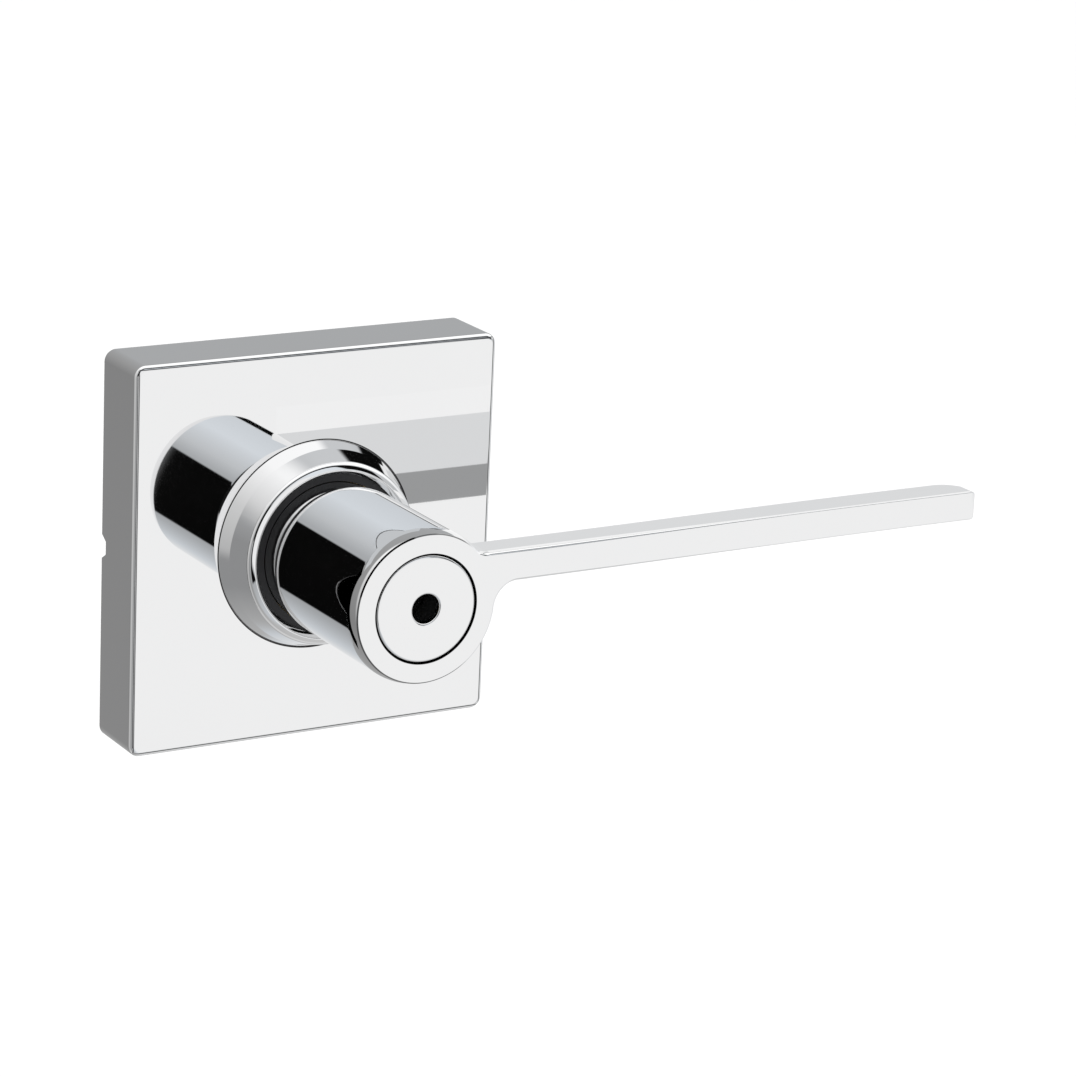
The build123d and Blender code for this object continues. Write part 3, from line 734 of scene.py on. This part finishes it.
def release_spring(material):
    """Compression spring with its end coils closed up."""
    low, high = (-reach("release_spring", 1, side) for side in (1, 0))
    room = high - low - 2 * (RELEASE_WIRE + RELEASE_PLAY)
    open_pitch = (room - 2 * RELEASE_SHUT) / RELEASE_OPEN_TURNS
    pitches = [(1, RELEASE_SHUT)] + [(1, open_pitch)] * RELEASE_OPEN_TURNS + [(1, RELEASE_SHUT)]
    coil = helix(RELEASE_COIL, low + RELEASE_WIRE + RELEASE_PLAY, 0, pitches)
    return wire("release_spring_wire", coil, RELEASE_WIRE, material, 14)


def return_spring(material):
    """Torsion spring: two turns with a bent-up leg at each end, either side of the tabs."""
    leg_angle = math.degrees(math.asin(RETURN_LEG_X / RETURN_COIL))
    turns = 2 - 2 * leg_angle / 360
    front = -reach("return_spring", 1, 0) - RETURN_WIRE
    rear = front - RETURN_PITCH * turns
    top = reach("return_spring", 2, 1)
    steps = 96
    coil = helix(RETURN_COIL, rear, 90 - leg_angle, [(-turns, RETURN_PITCH)], steps)
    foot = RETURN_COIL * math.cos(math.radians(leg_angle)) + RETURN_BEND
    first = [(RETURN_LEG_X, -rear, z) for z in np.linspace(top, foot, 6)]
    last = [(-RETURN_LEG_X, -front, z) for z in np.linspace(foot, top, 6)]
    # the coil's ends give way to the bends
    trim = max(1, round(RETURN_BEND / (2 * math.pi * RETURN_COIL / steps)))
    return wire("return_spring_wire", first + coil[trim:-trim] + last, RETURN_WIRE, material, 18)


def housing_screws(material):
    """Four slotted pan-head screws, their slots cut across."""
    line = [(0, 0, 0), (SCREW - SCREW_POINT, 0, 0), (SCREW, SCREW_POINT, 0), (SCREW, SCREW_SEAT, 0)]
    line += [(SCREW_HEAD, SCREW_SEAT, 0.15), (SCREW_HEAD, SCREW_TOP - 0.35, 0.5)]
    line += [(1.6, SCREW_TOP, 1.2), (0, SCREW_TOP, 0)]
    screw = turned("pan_screw", line, material, 64)
    half, far = SCREW_SLOT / 2, 4.0
    slot = [(-half, -far), (half, -far), (half, far), (-half, far)]
    floor, above = ([(x, -h, z) for x, z in slot] for h in (SCREW_TOP - SCREW_SLOT, SCREW_TOP + 1))
    screw = carved(screw, prism("slot", floor, above, material))
    places = []
    for angle in (45, 135, 225, 315):
        turn = math.radians(angle)
        places.append((SCREW_ORBIT * math.cos(turn), SCREW_ORBIT * math.sin(turn), angle))
    return repeated("pan_screws", screw, places, material)


def clip_places():
    """Where the four clips are riveted, the lower two turned about."""
    return [(x, side * RIVET_Z, 0 if side > 0 else 180) for x in (-CLIP_X, CLIP_X) for side in (-1, 1)]


def clip_rivets(material):
    """Four domed rivets through the clips and the plate."""
    line = [(0, 0, 0), (RIVET, 0, 0.1), (RIVET, RIVET_SEAT, 0), (RIVET_HEAD, RIVET_SEAT, 0.05)]
    line += [(RIVET_HEAD, RIVET_SEAT + 0.25, 0.2), (RIVET_DOME, RIVET_TOP, 0.9), (0, RIVET_TOP, 0)]
    rivet = turned("domed_rivet", line, material, 48)
    return repeated("domed_rivets", rivet, clip_places(), material)


def rose_clips(material):
    """Four bent spring clips, each with its riveted foot, upright and hook."""
    face, wall = CLIP_FACE - RIVET_Z, HOOK_REACH - RIVET_Z
    back = face - CLIP_THICK
    foot, foot_top = back - CLIP_FOOT, PLATE + CLIP_THICK
    hook_top = HOOK_LOW + HOOK_THICK
    side = [(foot, PLATE, 0.1), (face, PLATE, 0.5), (face, HOOK_LOW, 0.05), (wall, HOOK_LOW, 0.1)]
    side += [(wall, hook_top, 0.3), (face, hook_top, 0.05), (face, CLIP_TOP, 0.15), (back, CLIP_TOP, 0.15)]
    side += [(back, foot_top, 0.3), (foot, foot_top, 0.1)]
    line = softened(side, step=12)
    count = len(line)
    points = [(x, -h, z) for x in (-CLIP_HALF, CLIP_HALF) for z, h in line]
    faces = [tuple(range(count)), tuple(range(count, 2 * count))]
    faces += [(k, (k + 1) % count, count + (k + 1) % count, count + k) for k in range(count)]
    clip = solid("bent_clip", points, faces, material)
    hole = turned_mesh([(0, 0), (RIVET, 0), (RIVET, 4), (0, 4)], 48)
    clip = carved(clip, solid("rivet_hole", *hole, material))
    return repeated("bent_clips", clip, clip_places(), material)


def stop_pins(material):
    """Two round pins with bevelled tops."""
    line = [(0, 0, 0), (STOP_PIN, 0, 0), (STOP_PIN, STOP_PIN_TOP, 0.3), (0, STOP_PIN_TOP, 0)]
    pin = turned("stop_pin", line, material, 48)
    turns = [math.radians(270 + side * STOP_ANGLE) for side in (-1, 1)]
    places = [(STOP_PIN_ORBIT * math.cos(turn), STOP_PIN_ORBIT * math.sin(turn), 0) for turn in turns]
    return repeated("stop_pin_pair", pin, places, material)


def through_posts(material):
    """Two tapped posts with bevelled mouths, riveted over in the plate."""
    head = PLATE - POST_HEAD
    line = [(0, PLATE, 0), (POST, PLATE, 0.1), (POST, head, 0), (POST_SHANK, head, 0), (POST_SHANK, 0, 0)]
    line += [(POST, 0, 0), (POST, -POST_LENGTH, 0.5), (POST_BORE + POST_MOUTH, -POST_LENGTH, 0)]
    line += [(POST_BORE, POST_MOUTH - POST_LENGTH, 0), (POST_BORE, -POST_BORE_END, 0)]
    line.append((0, -POST_DRILL_POINT, 0))
    post = turned("tapped_post", line[::-1], material, 64)
    return repeated("tapped_posts", post, [(-POST_X, 0, 0), (POST_X, 0, 0)], material)


# ======== shader maths ========
class Tone:
    """A shader socket that is used like a number. Each sum adds a Math node."""

    def __init__(self, tree, socket=None):
        self.tree, self.socket = tree, socket

    def node(self, kind, settings=None, sockets=None, output=0):
        """Any node: its settings first, then the values or links of its sockets."""
        made = self.tree.nodes.new(kind)
        for name, value in (settings or {}).items():
            if name == "stops":
                self.set_stops(made.color_ramp, value)
            else:
                setattr(made, name, value)
        for name, value in (sockets or {}).items():
            if isinstance(value, Tone):
                self.tree.links.new(value.socket, made.inputs[name])
            else:
                made.inputs[name].default_value = value
        return Tone(self.tree, made.outputs[output])

    def set_stops(self, ramp, stops):
        while len(ramp.elements) < len(stops):
            ramp.elements.new(0.5)
        for element, (place, _) in zip(ramp.elements, stops):
            element.position = place
        for element, (_, colour) in zip(ramp.elements, stops):
            element.color = (*colour, 1.0)

    def maths(self, operation, *values):
        return self.node("ShaderNodeMath", {"operation": operation}, dict(enumerate(values)))

    def __add__(self, other):
        return self.maths("ADD", self, other)

    def __sub__(self, other):
        return self.maths("SUBTRACT", self, other)

    def __mul__(self, other):
        return self.maths("MULTIPLY", self, other)

    def __rsub__(self, other):
        return self.maths("SUBTRACT", other, self)

    __radd__ = __add__
    __rmul__ = __mul__

    def step(self, low, high, start=0.0, end=1.0):
        """Runs smoothly from start to end while this goes from low to high."""
        return self.node(
            "ShaderNodeMapRange",
            {"interpolation_type": "SMOOTHSTEP"},
            {"Value": self, "From Min": low, "From Max": high, "To Min": start, "To Max": end},
        )


def finish_of(name, base, metallic, roughness, **look):
    """A new material, its tree's Tone and its shader node."""
    material = bpy.data.materials.new(name)
    material.use_nodes = True
    tree = material.node_tree
    shader = tree.nodes["Principled BSDF"]
    shader.inputs["Base Color"].default_value = (*base, 1.0)
    shader.inputs["Metallic"].default_value = metallic
    shader.inputs["Roughness"].default_value = roughness
    for socket, value in look.items():
        shader.inputs[socket.replace("_", " ")].default_value = value
    return material, Tone(tree), shader


def feed(tone, shader, socket):
    shader.id_data.links.new(tone.socket, shader.inputs[socket])


def noise(start, scale, detail=3.0, stretch=(1.0, 1.0, 1.0)):
    """Noise on the object's own coordinates, with its grain per metre."""
    place = start.node("ShaderNodeTexCoord", output="Object")
    place = start.node("ShaderNodeMapping", sockets={"Vector": place, "Scale": stretch})
    return start.node(
        "ShaderNodeTexNoise", sockets={"Vector": place, "Scale": scale, "Detail": detail}, output="Fac"
    )


def mixed(start, mask, dark, light):
    return start.node(
        "ShaderNodeMix",
        {"data_type": "RGBA"},
        {"Factor": mask, 6: (*dark, 1.0), 7: (*light, 1.0)},
        output=2,
    )


def bumped(start, shader, height, strength, distance):
    bump = start.node(
        "ShaderNodeBump", sockets={"Height": height, "Strength": strength, "Distance": distance}
    )
    feed(bump, shader, "Normal")


def own_place(start):
    """The object's own x, y and z."""
    place = start.node("ShaderNodeTexCoord", output="Object")
    return [start.node("ShaderNodeSeparateXYZ", sockets={"Vector": place}, output=k) for k in range(3)]


def ring_line(start, radius, height, half_width, half_height):
    """A mask for a thin line round the lever's axis, at a radius and height in millimetres."""
    x, y, z = own_place(start)
    out = start.maths("SQRT", x * x + z * z)
    off_radius = start.maths("ABSOLUTE", out - radius * MM)
    off_height = start.maths("ABSOLUTE", y + height * MM)
    near = off_radius.step(half_width * MM, half_width * MM * 0.6)
    return near * off_height.step(half_height * MM, half_height * MM * 0.9)


def chrome_plate():
    """Bright polished plate: faint clouds and hairlines in the polish, and thin black lines painted into its
    colour where its edges and grooves would show shade and dark reflections.
    """
    material, start, shader = finish_of("chrome_plate", (0.866, 0.867, 0.87), 1.0, 0.03)
    cloud = noise(start, 60.0)
    hairs = noise(start, 900.0, 2.0, (0.15, 1.0, 1.0))
    x, y, z = own_place(start)
    # painted dark lines: black rings at the boss's foot, the cap's groove and the disc's bevel, and a square
    # line inside the rose's front edge, painted into the colour as shade and dark reflections
    boss_foot_painted_line = ring_line(start, 18.0, ROSE_DEPTH, 0.13, 0.4)
    cap_groove_painted_line = ring_line(start, 9.08, 50.3, 0.16, 1.5)
    clear_of_arm = x.step(8.5 * MM, 6.0 * MM)
    disc_bevel_painted_line = ring_line(start, 12.35, 50.9, 0.13, 0.4) * clear_of_arm
    rose_edge_painted_line = start.maths("MAXIMUM", start.maths("ABSOLUTE", x), start.maths("ABSOLUTE", z))
    rose_edge_painted_line = start.maths("ABSOLUTE", rose_edge_painted_line - 32.68 * MM).step(0.11 * MM, 0.06 * MM)
    rose_front = y.step(-11.8 * MM, -12.0 * MM) * y.step(-13.5 * MM, -13.2 * MM)
    painted_dark_lines = boss_foot_painted_line + cap_groove_painted_line + 0.8 * disc_bevel_painted_line + 0.85 * rose_edge_painted_line * rose_front
    feed(cloud.step(0.35, 0.75, 0.018, 0.03) + hairs.step(0.55, 0.8, 0.0, 0.012), shader, "Roughness")
    plate = mixed(start, cloud, (0.858, 0.859, 0.862), (0.872, 0.873, 0.876))
    # the painted dark lines turn the plate's colour near black: painted shade and painted dark reflections
    dark = {"Factor": painted_dark_lines, 6: plate, 7: (0.01, 0.01, 0.01, 1.0)}
    feed(start.node("ShaderNodeMix", {"data_type": "RGBA"}, dark, output=2), shader, "Base Color")
    return material


def zinc_casting():
    """Raw die casting: grey, sandy, with darker flow marks."""
    material, start, shader = finish_of("zinc_casting", (0.5, 0.5, 0.51), 1.0, 0.45)
    sand, flow = noise(start, 2500.0, 4.0), noise(start, 110.0, 5.0)
    feed(mixed(start, flow, (0.36, 0.365, 0.38), (0.58, 0.58, 0.585)), shader, "Base Color")
    feed(0.34 + sand * 0.25, shader, "Roughness")
    bumped(start, shader, sand, 0.35, 0.00008)
    return material


def zinc_plated_steel():
    """Bright zinc over rolled steel: spangled blue-grey with fine rolling lines along X."""
    material, start, shader = finish_of("zinc_plated_steel", (0.66, 0.69, 0.72), 1.0, 0.3)
    lines = noise(start, 1800.0, 3.0, (0.06, 1.0, 1.0))
    patches = noise(start, 160.0, 4.0)
    feed(mixed(start, patches, (0.55, 0.59, 0.64), (0.74, 0.76, 0.78)), shader, "Base Color")
    feed(0.2 + lines * 0.14 + patches * 0.1, shader, "Roughness")
    bumped(start, shader, lines, 0.18, 0.00003)
    return material


def spring_steel():
    """Blued spring steel: straw and blue heat tints under a thin oil."""
    material, start, shader = finish_of("spring_steel", (0.28, 0.27, 0.28), 1.0, 0.28)
    tint = noise(start, 240.0, 3.0)
    feed(mixed(start, tint.step(0.35, 0.65), (0.15, 0.165, 0.21), (0.36, 0.31, 0.25)), shader, "Base Color")
    feed(0.2 + noise(start, 1500.0) * 0.2, shader, "Roughness")
    return material


def bright_steel():
    """Cold drawn steel with its drawing lines along Y."""
    material, start, shader = finish_of("bright_steel", (0.6, 0.6, 0.6), 1.0, 0.25)
    lines = noise(start, 2600.0, 3.0, (1.0, 0.03, 1.0))
    feed(mixed(start, lines, (0.5, 0.5, 0.51), (0.68, 0.675, 0.665)), shader, "Base Color")
    feed(0.16 + lines * 0.2, shader, "Roughness")
    bumped(start, shader, lines, 0.2, 0.00003)
    return material


def black_steel():
    """Black oxide on a machined screw."""
    material, start, shader = finish_of("black_steel", (0.03, 0.03, 0.033), 0.85, 0.35)
    rub = noise(start, 900.0, 4.0)
    feed(mixed(start, rub.step(0.5, 0.8), (0.022, 0.023, 0.026), (0.09, 0.088, 0.085)), shader, "Base Color")
    feed(0.28 + rub * 0.2, shader, "Roughness")
    return material


def brass():
    """Turned brass: fine rings from the tool and a brown bloom."""
    material, start, shader = finish_of("brass", (0.75, 0.55, 0.25), 1.0, 0.25)
    bloom = noise(start, 300.0, 4.0)
    feed(mixed(start, bloom, (0.62, 0.42, 0.17), (0.82, 0.63, 0.32)), shader, "Base Color")
    place = start.node("ShaderNodeTexCoord", output="Object")
    rings = start.node(
        "ShaderNodeTexWave",
        {"wave_type": "RINGS", "rings_direction": "Y"},
        {"Vector": place, "Scale": 2200.0, "Distortion": 0.5},
        output="Fac",
    )
    feed(0.18 + bloom * 0.16, shader, "Roughness")
    bumped(start, shader, rings, 0.15, 0.00002)
    return material


def moulded(name, dark, light, roughness, grain):
    """Moulded plastic or rubber with a fine spark-eroded grain."""
    material, start, shader = finish_of(name, dark, 0.0, roughness, Specular_IOR_Level=0.4)
    patches = noise(start, grain / 12, 3.0)
    fine = noise(start, grain, 4.0)
    feed(mixed(start, patches, dark, light), shader, "Base Color")
    feed(roughness + (fine - 0.5) * 0.2, shader, "Roughness")
    bumped(start, shader, fine, 0.3, 0.00005)
    return material


FINISHES = {
    "chrome_plate": chrome_plate(),
    "zinc_casting": zinc_casting(),
    "zinc_plated_steel": zinc_plated_steel(),
    "spring_steel": spring_steel(),
    "bright_steel": bright_steel(),
    "black_steel": black_steel(),
    "brass": brass(),
    "black_plastic": moulded("black_plastic", (0.012, 0.012, 0.013), (0.02, 0.02, 0.022), 0.42, 3000.0),
    "grey_plastic": moulded("grey_plastic", (0.3, 0.31, 0.32), (0.36, 0.365, 0.37), 0.45, 3500.0),
    "rubber": moulded("rubber", (0.015, 0.015, 0.016), (0.028, 0.028, 0.028), 0.7, 4500.0),
}
BODY_OF = {
    node: body for body, nodes in frame["record"]["behaviour"]["bodies"].items() for node in nodes
}


def fit(piece, node):
    """Sets a piece in place of its CAD node, on the node's body, with the node's finish."""
    if node == "return_spring":
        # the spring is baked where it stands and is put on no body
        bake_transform(piece)
    else:
        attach(piece, BODY_OF[node])
    if node == "release_spring":
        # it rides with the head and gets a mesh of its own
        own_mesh(piece)
    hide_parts(node)
    return piece


# ======== the pieces ========
made_here = [rose_cover, lever_handle, face_cap, spindle_sleeve, release_spring, return_spring]
made_here += [housing_screws, clip_rivets, rose_clips, stop_pins, through_posts]
made_here = {maker.__name__: maker for maker in made_here}
for node, source in frame["nodes"].items():
    finish = source.data.materials[0].name.split(".")[0]
    material = FINISHES[finish]
    if node in made_here:
        fit(made_here[node](material), node)
    else:
        fit(smoothed(node, material), node)

# ======== studio ========
CAMERA_TURN = (-30.9625, 16.6324, 2.6412)
CAMERA_PLACE = (43.2577, -2.3360, 683.989)
CAMERA_LENS = 135.271


def make_camera():
    """The camera, from its azimuth, elevation and roll, and its place along its own axes."""
    azimuth, elevation, roll = (math.radians(angle) for angle in CAMERA_TURN)
    back = Vector(
        (
            math.sin(azimuth) * math.cos(elevation),
            -math.cos(azimuth) * math.cos(elevation),
            math.sin(elevation),
        )
    )
    level = Vector((0, 0, 1)).cross(back).normalized()
    upright = back.cross(level)
    right = math.cos(roll) * level + math.sin(roll) * upright
    up = math.cos(roll) * upright - math.sin(roll) * level
    data = bpy.data.cameras.new("camera")
    data.lens, data.sensor_width = CAMERA_LENS, 36.0
    data.clip_start, data.clip_end = 0.05, 20.0
    camera = placed("camera", data)
    along, above, away = CAMERA_PLACE
    place = (right * along + up * above + back * away) * MM
    camera.matrix_world = Matrix.Translation(place) @ Matrix((right, up, back)).transposed().to_4x4()
    bpy.context.scene.camera = camera


def grey(level, cool=0.0):
    """A grey of a level, with a share less red and more blue."""
    return (level * (1 - cool), level, level * (1 + cool))


FRONT_PANELS = [
    (0.000, grey(0.75, 0.03)),
    (0.055, grey(0.79, 0.05)),
    (0.190, grey(0.88, 0.05)),
    (0.300, grey(0.68, 0.03)),
    (0.352, grey(0.52, 0.03)),
    (0.500, grey(0.45)),
    (0.664, grey(0.46, 0.03)),
    (0.780, grey(0.74, 0.05)),
    (0.890, grey(0.985)),
    (0.930, grey(0.985)),
    (1.000, grey(0.75, 0.03)),
]
SIDE_PANELS = [
    (0.00, grey(0.8, 0.02)),
    (0.10, grey(1.3)),
    (0.30, grey(1.2)),
    (0.42, grey(0.75)),
    (0.58, grey(0.5)),
    (0.75, grey(0.7)),
    (1.00, grey(0.8, 0.02)),
]
SKIRT_PANELS = [
    (0.00, grey(0.5, 0.02)),
    (0.10, grey(0.75, 0.02)),
    (0.20, grey(0.75, 0.02)),
    (0.35, grey(0.6, 0.02)),
    (0.50, grey(0.34, 0.01)),
    (0.62, grey(0.34, 0.01)),
    (0.80, grey(0.6)),
]
REAR_PANELS = [
    (0.00, grey(0.45, 0.02)),
    (0.10, grey(0.43, 0.02)),
    (0.35, grey(0.35)),
    (0.58, grey(0.25)),
    (0.80, grey(0.4)),
    (1.00, grey(0.45, 0.02)),
]


def make_world():
    """A white room to the eye; reflections see a soft studio with a dark gap and a dark belt."""
    world = bpy.data.worlds.new("studio")
    bpy.context.scene.world = world
    world.use_nodes = True
    tree = world.node_tree
    tree.nodes.clear()
    start = Tone(tree)
    way = start.node("ShaderNodeTexCoord", output="Generated")
    split = tree.nodes.new("ShaderNodeSeparateXYZ")
    tree.links.new(way.socket, split.inputs[0])
    # the direction a ray looks in: -1 in y is straight out from the door
    x, y, z = (Tone(tree, split.outputs[k]) for k in range(3))
    turn = start.maths("ARCTAN2", z * -1.0, x * -1.0) * (0.5 / math.pi) + 0.5

    front = start.node("ShaderNodeValToRGB", {"stops": FRONT_PANELS}, {"Fac": turn})
    side = start.node("ShaderNodeValToRGB", {"stops": SIDE_PANELS}, {"Fac": turn})
    rear = start.node("ShaderNodeValToRGB", {"stops": REAR_PANELS}, {"Fac": turn})
    below_gap = (z - x * 0.396).step(-0.345, -0.315)
    above_gap = (z + x * 0.37).step(0.25, 0.275)
    gap = below_gap * (1.0 - above_gap) * y.step(-0.74, -0.77) * y.step(-0.88, -0.87)

    def over(under, share, colour):
        sockets = {"Factor": share, 6: under, 7: colour}
        return start.node("ShaderNodeMix", {"data_type": "RGBA"}, sockets, output=2)

    belt = y.step(-0.56, -0.58) * y.step(-0.77, -0.75) * z.step(0.0, 0.06)
    crown = y.step(-0.88, -0.9)
    shade = start.node("ShaderNodeValToRGB", {"stops": SKIRT_PANELS}, {"Fac": turn})
    seen = over(rear, y.step(0.45, 0.4), side)
    seen = over(seen, (y + z * 0.11).step(-0.32, -0.37), shade)
    seen = over(seen, y.step(-0.6, -0.7), front)
    seen = over(seen, crown, (0.95, 0.95, 0.955, 1.0))
    seen = over(seen, gap, (0.003, 0.003, 0.003, 1.0))
    seen = over(seen, belt, (0.004, 0.004, 0.004, 1.0))
    mirrored = start.node("ShaderNodeBackground", sockets={"Color": seen, "Strength": 1.0})
    room = start.node("ShaderNodeBackground", sockets={"Color": (1, 1, 1, 1), "Strength": 1.05})
    rays = start.node("ShaderNodeLightPath", output="Is Glossy Ray")
    both = start.node("ShaderNodeMixShader", sockets={0: rays, 1: room, 2: mirrored})
    out = tree.nodes.new("ShaderNodeOutputWorld")
    tree.links.new(both.socket, out.inputs["Surface"])


def make_panel(name, corners, level, cool=0.0, one_sided=False):
    """A flat studio panel that only the plating sees, from its corners in millimetres."""
    panel = shaped(name, corners, [], [(0, 1, 2, 3)])
    material, start, shader = finish_of(name + "_face", (0.0, 0.0, 0.0), 0.0, 1.0)
    shader.inputs["Specular IOR Level"].default_value = 0.0
    shader.inputs["Emission Color"].default_value = (*grey(level, cool), 1.0)
    shader.inputs["Emission Strength"].default_value = 1.0
    if one_sided:
        feed(1.0 - start.node("ShaderNodeNewGeometry", output="Backfacing"), shader, "Alpha")
    panel.data.materials.append(material)
    panel.visible_camera = panel.visible_diffuse = panel.visible_shadow = False


def upright(x_low, x_high, z_low, z_high, height):
    """Corners of a panel that stands parallel to the door."""
    return [(x, -height, z) for x, z in ((x_low, z_low), (x_high, z_low), (x_high, z_high), (x_low, z_high))]


def make_panels():
    """The panels that stand close to the rose and the arm."""
    # beside the rose, overlapping its edge and just proud of its face
    near, beside, height = ROSE_HALF - 1.0, ROSE_HALF + 14, ROSE_DEPTH + 0.6
    make_panel("dark_panel", upright(-beside, -near, -beside, 27, height), 0.0, one_sided=True)
    make_panel("cool_panel", upright(-beside, 20, near, beside, height), 0.62, 0.03, one_sided=True)
    # between the arm and the rose
    behind_arm = 43.5
    make_panel("arm_white_panel", upright(8, 112, 10.1, 15, behind_arm), 1.0)
    make_panel("arm_light_panel", upright(8, 112, 0.5, 10.1, behind_arm), 0.78, 0.01)
    make_panel("arm_grey_panel", upright(8, 70, -5.4, 0.5, behind_arm), 0.36, 0.01)


def make_floor():
    """A plain pale floor that doesn't show in the plating."""
    low = reach("rose_cover", 2, 0) - FLOOR_DROP
    size = FLOOR_HALF
    corners = [(-size, -size), (size, -size), (size, size), (-size, size)]
    floor = shaped("floor", [(x, y, low) for x, y in corners], [], [(0, 1, 2, 3)])
    material, _, _ = finish_of("floor_paper", (0.96, 0.96, 0.96), 0.0, 0.9)
    floor.data.materials.append(material)
    floor.visible_glossy = False


def make_soft_light():
    """A broad soft light from above the lever's left."""
    data = bpy.data.lights.new("soft_light", "AREA")
    data.shape, data.size, data.energy = "DISK", 1.4, 6.0
    light = placed("soft_light", data)
    place = Vector((-0.6, -1.1, 1.2))
    light.matrix_world = Matrix.Translation(place) @ place.to_track_quat("Z", "Y").to_matrix().to_4x4()
    light.visible_glossy = False


make_camera()
make_world()
make_soft_light()
make_panels()
make_floor()
bpy.context.scene.view_settings.view_transform = "Standard"
